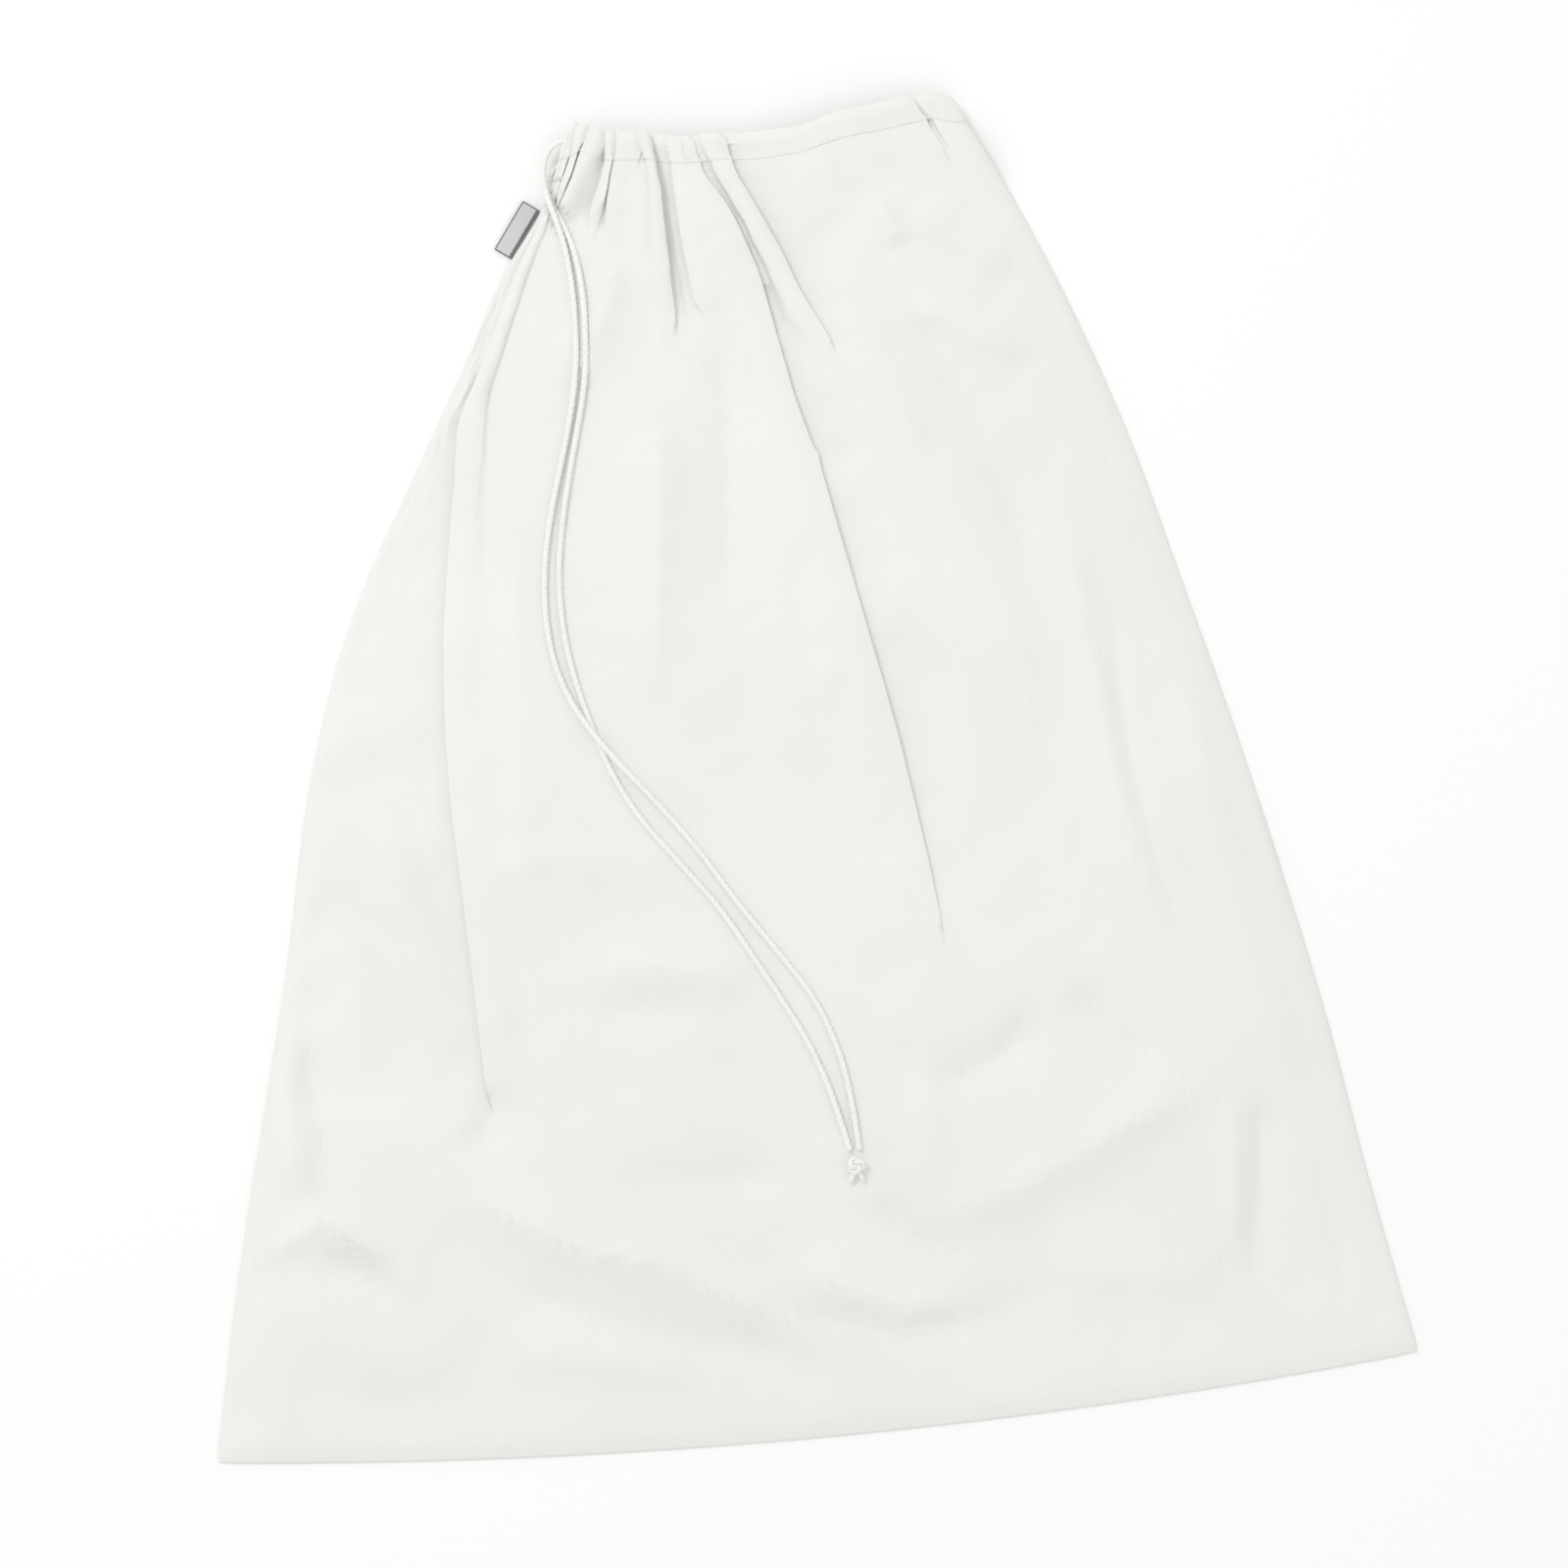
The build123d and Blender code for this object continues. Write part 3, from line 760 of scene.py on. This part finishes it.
def topOfCloth(tree, x, y, reach=1.6 * mm):
    # highest point of the cloth in a small patch
    best = 0.0
    for dx in (-reach, 0, reach):
        for dy in (-reach, 0, reach):
            hit = tree.ray_cast(Vector((x + dx, y + dy, 0.2)), Vector((0, 0, -1)))[0]
            best = max(best, hit.z if hit else 0.0)
    return best


def settled(route, tree, free, raised=()):
    # the route's points from free on, let down on the cloth; raised ones pass over the other tail
    out = []
    for i, (x, y, z) in enumerate(route):
        if i >= free:
            z = topOfCloth(tree, x, y) + (cordMake["diameter"] / 2 + cordMake["above"]) * mm
            z += (cordMake["diameter"] + cordMake["between"]) * mm if i in raised else 0
        out.append((x, y, z))
    return out


def splineLine(name, route):
    # the NURBS line of a route, read back as points in millimetres
    curve = bpy.data.curves.new(name, "CURVE")
    curve.dimensions = "3D"
    curve.resolution_u = 24
    spline = curve.splines.new("NURBS")
    spline.points.add(len(route) - 1)
    for point, place in zip(spline.points, route):
        point.co = (*place, 1)
    spline.order_u = 3
    spline.use_endpoint_u = True
    holder = bpy.data.objects.new(name, curve)
    bpy.context.collection.objects.link(holder)
    line = bpy.data.meshes.new_from_object(holder.evaluated_get(bpy.context.evaluated_depsgraph_get()))
    points = np.array([v.co for v in line.vertices]) / mm
    bpy.data.objects.remove(holder)
    bpy.data.meshes.remove(line)
    return points


def evenly(points, step):
    along = np.r_[0, np.cumsum(np.linalg.norm(np.diff(points, axis=0), axis=1))]
    count = max(2, int(round(along[-1] / step)))
    at = np.linspace(0, along[-1], count + 1)
    return np.c_[[np.interp(at, along, points[:, i]) for i in range(3)]].T, at


def carriedFrames(line):
    # a side direction carried along the line without twisting
    forward = np.gradient(line, axis=0)
    forward /= np.linalg.norm(forward, axis=1, keepdims=True)
    side = np.cross(forward[0], (0, 0, 1))
    side /= np.linalg.norm(side)
    sides = []
    for f in forward:
        side = side - f * side.dot(f)
        side /= np.linalg.norm(side)
        sides.append(side)
    sides = np.array(sides)
    return forward, sides, np.cross(forward, sides)


def tubeMesh(line, radius, sides):
    # closed round tube along a line of points; radius may vary along it
    forward, side, up = carriedFrames(line)
    radius = np.broadcast_to(radius, len(line))
    angles = np.linspace(0, 2 * math.pi, sides, endpoint=False)[None, :, None]
    ring = np.cos(angles) * side[:, None] + np.sin(angles) * up[:, None]
    points = (line[:, None] + ring * radius[:, None, None]).reshape(-1, 3)
    faces = [f[::-1] for f in gridFaces(len(line), sides, ringed=True)]
    faces.append(tuple(range(sides)))
    faces.append(tuple(reversed(range(len(points) - sides, len(points)))))
    return points, faces


def joinMeshes(parts):
    points, faces, start = [], [], 0
    for p, f in parts:
        points.append(p)
        faces += [tuple(i + start for i in face) for face in f]
        start += len(p)
    return np.concatenate(points), faces


def twistedCord(line, diameter, tapered=0.0):
    # plies laid round the line; tapered closes the ends over that length
    line, along = evenly(line, cordMake["ringStep"])
    forward, side, up = carriedFrames(line)
    ply = diameter * cordMake["plyShare"]
    orbit = diameter / 2 - ply
    shrink = np.ones(len(line))
    if tapered:
        shrink = np.clip(np.minimum(along, along[-1] - along) / tapered, 0.25, 1)
    parts = []
    for k in range(cordMake["plies"]):
        turn = 2 * math.pi * (along / cordMake["twist"] + k / cordMake["plies"])
        outward = np.cos(turn)[:, None] * side + np.sin(turn)[:, None] * up
        strand = line + outward * (orbit * shrink)[:, None]
        parts.append(tubeMesh(strand, ply * shrink, cordMake["sides"]))
    return joinMeshes(parts)


def finish(piece, node, material, degrees=60):
    # what every piece ends with: its shading, its material, and the model part it stands for hidden
    smoothShade(piece, degrees)
    piece.data.materials.append(material)
    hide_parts(node)
    return piece


def makeTail(name, node, route):
    line = splineLine(name + "Line", route)
    points, faces = twistedCord(line, cordMake["diameter"])
    tail = finish(meshPiece(name, points, faces), node, cordCotton)
    return tail, line


upperTree = clothTree(frontPoints)
settledA = settled(tailARoute, upperTree, free=6, raised=(14, 15))
settledB = settled(tailBRoute, upperTree, free=6)

knotMake = dict(clear=0.8, centre=(28.0, -183.2), lobe=1.12, flatness=1.15, strand=1.35, step=0.6,
                patch=4, tipLength=6.0, tipWidth=2.5, tipTaper=1.2, tipLeans=(-0.45, 0.35))


def trefoilLine(centre, lobe, steps=120):
    t = np.linspace(0, 2 * math.pi, steps)
    x = (2 + np.cos(3 * t)) * np.cos(2 * t)
    y = (2 + np.cos(3 * t)) * np.sin(2 * t)
    z = knotMake["flatness"] * np.sin(3 * t)
    return np.c_[x, y, z] * lobe + centre


def makeKnot():
    # overhand knot drawn tight, with two short tips
    x, y = knotMake["centre"]
    cloth = topOfCloth(upperTree, x * mm, y * mm, knotMake["patch"] * mm) / mm
    z = cloth + knotMake["lobe"] * knotMake["flatness"] + knotMake["strand"] + knotMake["clear"]
    centre = np.array((x, y, z))
    line, _ = evenly(trefoilLine(centre, knotMake["lobe"]), knotMake["step"])
    parts = [twistedCord(line, 2 * knotMake["strand"])]
    reach = knotMake["tipLength"]
    share = np.linspace(0, 1, 14)[:, None]
    for lean in knotMake["tipLeans"]:
        start = centre + np.array((lean * 2, -2.6, -0.2))
        bend = np.array((lean * reach, -reach * 0.9, -1.2))
        tip = start + bend * share + np.array((0.5 * lean, 0, -0.8)) * share**2
        parts.append(twistedCord(tip, knotMake["tipWidth"], tapered=knotMake["tipTaper"]))
    knot = finish(meshPiece("overhandKnot", *joinMeshes(parts)), "end_knot", cordCotton)
    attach(knot, "cord_end")
    return knot


knot = makeKnot()
tailA, lineA = makeTail("drawcordTailA", "drawstring_tail_a", settledA)
tailB, lineB = makeTail("drawcordTailB", "drawstring_tail_b", settledB)
for tail in (tailA, tailB):
    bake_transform(tail)
print("stage: cord and knot")


pressMake = dict(reach=5.0, step=1.5, chunk=4000, clear=0.1, slope=0.12, above=3)


def pressUnder(points, lines):
    # the cloth gives way under the cord
    reach = pressMake["reach"]
    for line in lines:
        fine, _ = evenly(line, pressMake["step"])
        low, high = fine.min(0) - reach, fine.max(0) + reach
        near = ((points[..., :2] > low[:2]) & (points[..., :2] < high[:2])).all(2)
        where = points[near]
        for start in range(0, len(where), pressMake["chunk"]):
            patch = where[start:start + pressMake["chunk"]]
            away = np.linalg.norm(patch[:, None, :2] - fine[None, :, :2], axis=2)
            k = away.argmin(1)
            gap, cordHeight = away[np.arange(len(k)), k], fine[k, 2]
            limit = cordHeight - cordMake["diameter"] / 2 - pressMake["clear"]
            limit += pressMake["slope"] * gap**2
            height = patch[:, 2]
            covered = (gap < reach) & (height > limit) & (height < cordHeight + pressMake["above"])
            patch[:, 2] = np.where(covered, limit, height)
        points[near] = where


clothMake = dict(thickness=0.45, inHem=3)


def finishCloth(piece, node, degrees):
    finish(piece, node, cotton, degrees)
    followMouth(piece)
    return piece


def makePanel(name, node, points):
    panel = points[:points.shape[0] - hemRows + clothMake["inHem"]]  # a little goes up inside the hem
    piece = meshPiece(name, panel.reshape(-1, 3), gridFaces(*panel.shape[:2]), clothWay(panel))
    addWall(piece, "clothWall", clothMake["thickness"])
    return finishCloth(piece, node, 80)


pressUnder(frontPoints, [lineA[12:], lineB[12:]])
frontPanel = makePanel("upperPanel", "front_panel", frontPoints)
backPanel = makePanel("lowerPanel", "back_panel", backPoints)
print("stage: panels")

hemMake = dict(halfHeight=2.0, edgeHalf=0.5, wall=0.35, pucker=0.22, puckerLength=4.6, puckerReach=0.3)


def hemProfile():
    # half thickness of the hem from its stitched edge to the mouth's edge: it swells towards the cord
    share = np.linspace(0, 1, hemRows)
    low, high = hemMake["edgeHalf"], hemMake["halfHeight"]
    swell = low + (high - low) * smoothStep(share, 0.05, 0.75)
    return swell * np.clip(1 - share ** 6, 0, 1) ** 0.5


def surfaceNormals(points):
    along = np.gradient(points, axis=1)
    up = np.gradient(points, axis=0)
    normal = np.cross(along, up)
    return normal / np.maximum(np.linalg.norm(normal, axis=2, keepdims=True), 1e-9)


def flatTube(centre, normal, half):
    # ring of points round a strip: over its top from the stitched edge to the mouth, and back below
    top = centre + normal * half
    below = centre - normal * half
    ring = np.concatenate([top, below[-2:0:-1]], 0)
    return ring.transpose(1, 0, 2)  # one ring for each column


def ringUv(distance, around, swapped=False):
    # one pair for each point of the rings, in metres: distance along the edge, and round the ring
    uv = np.dstack([np.repeat(distance[:, None], len(around), 1), np.tile(around, (len(distance), 1))])
    return (uv[..., ::-1] if swapped else uv).reshape(-1, 2) * mm


def makeHem(name, node, points, squeeze):
    hem = points[-hemRows:]
    normal = surfaceNormals(points)[-hemRows:]
    profile = hemProfile()
    half = profile[:, None] * squeeze[None, :]
    distance = np.r_[0, np.linalg.norm(np.diff(hem[0], axis=0), axis=1).cumsum()]
    ripple = np.sin(distance / hemMake["puckerLength"] * 2 * math.pi) * hemMake["pucker"]
    near = np.exp(-np.linspace(0, 1, hemRows) / hemMake["puckerReach"])
    half = half + np.abs(ripple[None, :] * near[:, None]) * (profile[:, None] > 0)
    return hemPiece(name, node, flatTube(hem, normal, half[..., None]), distance)


def hemPiece(name, node, rings, distance):
    # rings of points round the hem, one for each distance along it
    count, around = rings.shape[:2]
    uv = ringUv(distance, np.linspace(0, 2 * outline["casingDepth"], around))
    piece = meshPiece(name, rings.reshape(-1, 3), gridFaces(count, around, ringed=True), uv)
    outwardNormals(piece)
    addWall(piece, "clothWall", hemMake["wall"], offset=-1)
    return finishCloth(piece, node, 70)


def squeezeOf(layer, amount):
    # the hem is thinner where it is folded over itself
    lift = np.abs(np.gradient(layer["lift"][-1]))
    folded = np.convolve(lift > 0.25, np.ones(5), "same") > 0
    longer = np.r_[[folded[0]] * 3, folded, [folded[-1]] * 3].astype(float)
    soft = np.convolve(longer, np.ones(7) / 7, "valid")
    return 1 - amount * soft


frontHem = makeHem("upperHem", "front_casing", frontPoints, squeezeOf(frontLayer, 0.12))
backHem = makeHem("lowerHem", "back_casing", backPoints, squeezeOf(backLayer, 0.2))


turnMake = dict(outward=(0.97, -0.22, 0), past=0.12, rings=15, bend=2.4, leastBend=0.15, thinning=0.1,
                around=14)


def makeHemEnd():
    # the hem turns round the right side seam in one soft bend
    upper, lower = frontPoints[-hemRows:, -1], backPoints[-hemRows:, -1]
    middle, reach = (upper + lower) / 2, (upper - lower) / 2
    outward = np.array(turnMake["outward"])
    rings = []
    for turn in np.linspace(-turnMake["past"], math.pi + turnMake["past"], turnMake["rings"]):
        swell = turnMake["bend"] * math.sin(turn) * np.linspace(turnMake["leastBend"], 1, hemRows)[:, None]
        centre = middle + reach * math.cos(turn) + outward * swell
        normal = np.array((0, 0, 1.0)) * math.cos(turn) + outward * math.sin(turn)
        half = hemProfile()[:, None] * (1 - turnMake["thinning"] * math.sin(turn))
        rings.append(np.concatenate([centre + normal * half, (centre - normal * half)[-2:0:-1]]))
    distance = np.linspace(0, turnMake["around"], turnMake["rings"])
    return hemPiece("hemTurn", "casing_fold", np.array(rings), distance)


hemEnd = makeHemEnd()

heldMake = dict(row=-5, backRow=5, stride=6, between=(-57, 106), width=0.7, smoothing=2,
                turn=[(112, 299, 6.6), (114.6, 296, 4.9), (111, 294, 3.1)])


def makeHeldCord():
    # the stretch of cord inside the hem, there and back
    there = frontPoints[heldMake["row"]][::heldMake["stride"]]
    back = backPoints[-hemRows + heldMake["backRow"]][::heldMake["stride"]][::-1]
    low, high = heldMake["between"]
    there, back = [line[(line[:, 0] > low) & (line[:, 0] < high)] for line in (there, back)]
    there, back = there[np.argsort(there[:, 0])], back[np.argsort(-back[:, 0])]
    line = evenly(np.concatenate([lineA[:1], there, heldMake["turn"], back, lineB[:1]]), 1.0)[0]
    for _ in range(heldMake["smoothing"]):
        line[1:-1] = (line[:-2] + 2 * line[1:-1] + line[2:]) / 4
    piece = meshPiece("drawcordInHem", *twistedCord(line, cordMake["diameter"] * heldMake["width"]))
    finish(piece, "drawstring_loop", cordCotton)
    followMouth(piece)


makeHeldCord()
print("stage: hem")

seamMake = dict(
    width=6.0, low=0.12, high=1.15, around=13,
    # round the strip: distance inwards, and share of its height
    profile=[(0.0, 0.5), (0.15, 0.82), (0.6, 0.98), (2.5, 1.0), (4.5, 1.02), (5.7, 0.9), (6.0, 0.55),
             (5.6, 0.12), (3.0, 0.0), (0.5, 0.04)],
    outerPoints=4,  # these stay in line, the others waver
    sides=(0.004, 0.972, 170), rise=2.6, riseBetween=(0.93, 0.975), halfBottom=274, bottomStep=4,
)


def seamStrip(name, node, outer, inward, rise):
    # turned-in allowance along an edge: rounded strip from the outer line inwards
    steps = np.arange(len(outer))
    waver = 0.12 * np.sin(steps * 0.9) + 0.08 * np.sin(steps * 0.37 + 1)
    rings = []
    for k, (across, height) in enumerate(seamMake["profile"]):
        z = seamMake["low"] + height * (seamMake["high"] - seamMake["low"])
        ring = outer + inward * (across + waver * (k >= seamMake["outerPoints"]))[:, None]
        rings.append(np.c_[ring, z + rise])
    rings = np.array(rings).transpose(1, 0, 2)
    count, around = rings.shape[:2]
    points = rings.reshape(-1, 3)
    faces = gridFaces(count, around, ringed=True)
    faces.append(tuple(reversed(range(around))))
    faces.append(tuple(range(len(points) - around, len(points))))
    along = np.r_[0, np.linalg.norm(np.diff(outer, axis=0), axis=1).cumsum()]
    uv = ringUv(along, np.linspace(0, seamMake["around"], around), swapped=True)
    piece = meshPiece(name, points, faces, uv)
    outwardNormals(piece)
    return finishCloth(piece, node, 50)


def alongLine(line):
    along = np.gradient(line, axis=0)
    return along / np.linalg.norm(along, axis=1, keepdims=True)


def sideLine(side):
    shares = np.linspace(*seamMake["sides"])
    line = curveThrough(outline[side], shares)
    along = alongLine(line)
    inward = np.c_[along[:, 1], -along[:, 0]] * (1 if side == "left" else -1)
    return line, inward, seamMake["rise"] * smoothStep(shares, *seamMake["riseBetween"])


def bottomLine():
    line = frontLayer["flat"][0]
    line = line[np.abs(line[:, 0]) < seamMake["halfBottom"]]
    line = evenly(np.c_[line, np.zeros(len(line))], seamMake["bottomStep"])[0][:, :2] - (0, outline["lip"])
    along = alongLine(line)
    return line, np.c_[-along[:, 1], along[:, 0]], np.zeros(len(line))


leftEdge, rightEdge, closedEdge = sideLine("left"), sideLine("right"), bottomLine()
leftSeam = seamStrip("leftSeam", "left_side_seam", *leftEdge)
rightSeam = seamStrip("rightSeam", "right_side_seam", *rightEdge)
bottomSeam = seamStrip("bottomSeam", "bottom_seam", *closedEdge)

stitchMake = dict(length=2.5, gap=0.7, thread=0.42, above=0.12, hemLength=2.2, hemAbove=0.05,
                  places=(0, 0.18, 0.5, 0.82, 1), lifts=(-0.75, 0.1, 0.3, 0.1, -0.75),
                  swells=(0.6, 0.95, 1, 0.95, 0.6))


def stitchMesh(start, end, thickness):
    # one stitch: a short thread whose ends dip into the cloth
    line = start + (end - start) * np.array(stitchMake["places"])[:, None]
    line[:, 2] += np.array(stitchMake["lifts"]) * thickness
    return tubeMesh(line, thickness / 2 * np.array(stitchMake["swells"]), 6)


def stitchRow(name, node, line, length=stitchMake["length"], thickness=stitchMake["thread"]):
    fine, at = evenly(line, 0.5)
    parts = []
    for begin in np.arange(0.5, at[-1] - length, length + stitchMake["gap"]):
        ends = [np.array([np.interp(x, at, fine[:, i]) for i in range(3)]) for x in (begin, begin + length)]
        parts.append(stitchMesh(*ends, thickness))
    return finishThread(name, node, parts)


def finishThread(name, node, parts):
    return finish(meshPiece(name, *joinMeshes(parts)), node, sewingThread)


def seamStitches(name, node, edge):
    line, inward, rise = edge
    line = np.c_[line + inward * seamMake["width"] / 2, seamMake["high"] + stitchMake["above"] + rise]
    return stitchRow(name, node, line[2:-2])


leftStitches = seamStitches("leftSeamStitches", "left_seam_stitching", leftEdge)
rightStitches = seamStitches("rightSeamStitches", "right_seam_stitching", rightEdge)
bottomStitches = seamStitches("bottomSeamStitches", "bottom_seam_stitching", closedEdge)


def hemLine(points, squeeze):
    # along the stitched edge of the hem, on its upper side
    row = -hemRows + 1
    half = hemProfile()[1] * squeeze[:, None]
    line = points[row] + surfaceNormals(points)[row] * (half + stitchMake["hemAbove"])
    return line[2:-2]


frontHemStitches = stitchRow("upperHemStitches", "front_casing_stitching",
                             hemLine(frontPoints, squeezeOf(frontLayer, 0.45)), stitchMake["hemLength"])
backHemStitches = stitchRow("lowerHemStitches", "back_casing_stitching",
                            hemLine(backPoints, squeezeOf(backLayer, 0.5)), stitchMake["hemLength"])
for piece in (leftStitches, rightStitches, bottomStitches, frontHemStitches, backHemStitches):
    followMouth(piece)

tackMake = dict(place=(-67.5, 283.5), width=4.4, height=2.2, threads=9, slant=0.6, above=0.32,
                patch=0.4, thread=0.5)


def makeTack():
    # dense zigzag that ends the slit where the cord comes out
    tree = clothTree(frontPoints)
    width, height, count = tackMake["width"], tackMake["height"], tackMake["threads"]
    x, y = tackMake["place"]
    parts = []
    for k in range(count):
        share = k / (count - 1) - 0.5
        low = np.array((x + share * width, y - height / 2))
        high = low + (width / count * tackMake["slant"], height)
        ends = [np.array((*p, topOfCloth(tree, *(p * mm), tackMake["patch"] * mm) / mm + tackMake["above"]))
                for p in (low, high)]
        parts.append(stitchMesh(*ends, tackMake["thread"]))
    return finishThread("slitTack", "exit_bar_tack", parts)


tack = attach(makeTack(), "bag")
print("stage: seams and stitches")

labelMake = dict(root=(-85.7, 260.7), along=(0.587, 0.8096), length=26.0, width=8.0, wall=0.22, height=0.55,
                 gap=0.34,  # half the distance between the middles of the two leaves
                 curl=1.1, ripple=0.15, caught=-1, pinch=0.6, pinchReach=1.5,
                 face=(0.62, 0.62, 0.63), border=(0.17, 0.17, 0.18), borderBetween=(0.65, 0.45),
                 stitchFrom=1.2, stitchAbove=0.2, stitchHalf=12, stitchLength=1.8, thread=0.32)


def labelMaterial():
    # satin weave in pale grey with a darker woven edge; no lettering
    material, tree, shader = newMaterial("wovenTape", (0.60, 0.60, 0.61), 0.48, sheen=0.1)
    link = tree.links.new
    uv = addNode(tree, "ShaderNodeUVMap", uv_map="clothWay")
    split = addNode(tree, "ShaderNodeSeparateXYZ")
    link(uv.outputs["UV"], split.inputs["Vector"])
    edges = []
    for axis, half in (("X", labelMake["length"] / 2 * mm), ("Y", labelMake["width"] / 2 * mm)):
        size = addNode(tree, "ShaderNodeMath", operation="ABSOLUTE")
        link(split.outputs[axis], size.inputs[0])
        edge = addNode(tree, "ShaderNodeMapRange")
        for end, width in zip(("From Min", "From Max"), labelMake["borderBetween"]):
            edge.inputs[end].default_value = half - width * mm
        link(size.outputs[0], edge.inputs["Value"])
        edges.append(edge)
    border = addNode(tree, "ShaderNodeMath", operation="MAXIMUM")
    link(edges[0].outputs[0], border.inputs[0])
    link(edges[1].outputs[0], border.inputs[1])
    tint = addRamp(tree, border.outputs[0], (labelMake["face"], labelMake["border"]))
    link(tint, shader.inputs["Base Color"])
    weave = addNode(tree, "ShaderNodeTexWave", wave_type="BANDS", bands_direction="DIAGONAL", Scale=520.0,
                    Distortion=0.6)
    link(uv.outputs["UV"], weave.inputs["Vector"])
    link(addBump(tree, weave.outputs["Fac"], 0.3, 0.0002), shader.inputs["Normal"])
    return material


def makeLabel():
    # a strip folded in half, its two ends caught in the seam
    make = labelMake
    along = np.array((*make["along"], 0.0))
    outward = np.array((-along[1], along[0], 0.0))
    root = np.array((*make["root"], make["height"]))
    width, length, gap, caught = make["width"], make["length"], make["gap"], make["caught"]
    leaf = np.linspace(caught, width - gap, 12)
    profile = [(x, gap, x - width / 2) for x in leaf]
    profile += [(width - gap + gap * math.cos(a), gap * math.sin(a), width / 2)
                for a in np.linspace(math.pi / 2, -math.pi / 2, 6)[1:-1]]
    profile += [(x, -gap, x - width / 2) for x in leaf[::-1]]
    steps = np.linspace(-0.5, 0.5, 19)
    points, uv = [], []
    for s in steps:
        for x, z, place in profile:
            lift = make["curl"] * (max(x, 0) / width) ** 2 * (0.55 + 0.9 * s)
            lift += make["ripple"] * math.sin(9 * s) * x / width
            pinch = 1 - make["pinch"] * math.exp(-(x - caught) / make["pinchReach"])
            points.append(root + along * s * length + outward * x + np.array((0, 0, z * pinch + lift)))
            uv.append((s * length * mm, place * mm))
    piece = meshPiece("sideLabel", points, gridFaces(len(steps), len(profile)), uv)
    addWall(piece, "tapeWall", make["wall"])
    outwardNormals(piece)
    finish(piece, "side_label", labelMaterial(), 50)
    stitchAt = root + outward * make["stitchFrom"] + np.array((0, 0, gap + make["stitchAbove"]))
    line = np.array([stitchAt - along * make["stitchHalf"], stitchAt + along * make["stitchHalf"]])
    thread = stitchRow("labelStitches", "label_stitching", line, make["stitchLength"], make["thread"])
    for part in (piece, thread):
        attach(part, "label_tab")
    return piece, thread


label, labelThread = makeLabel()
print("stage: label")
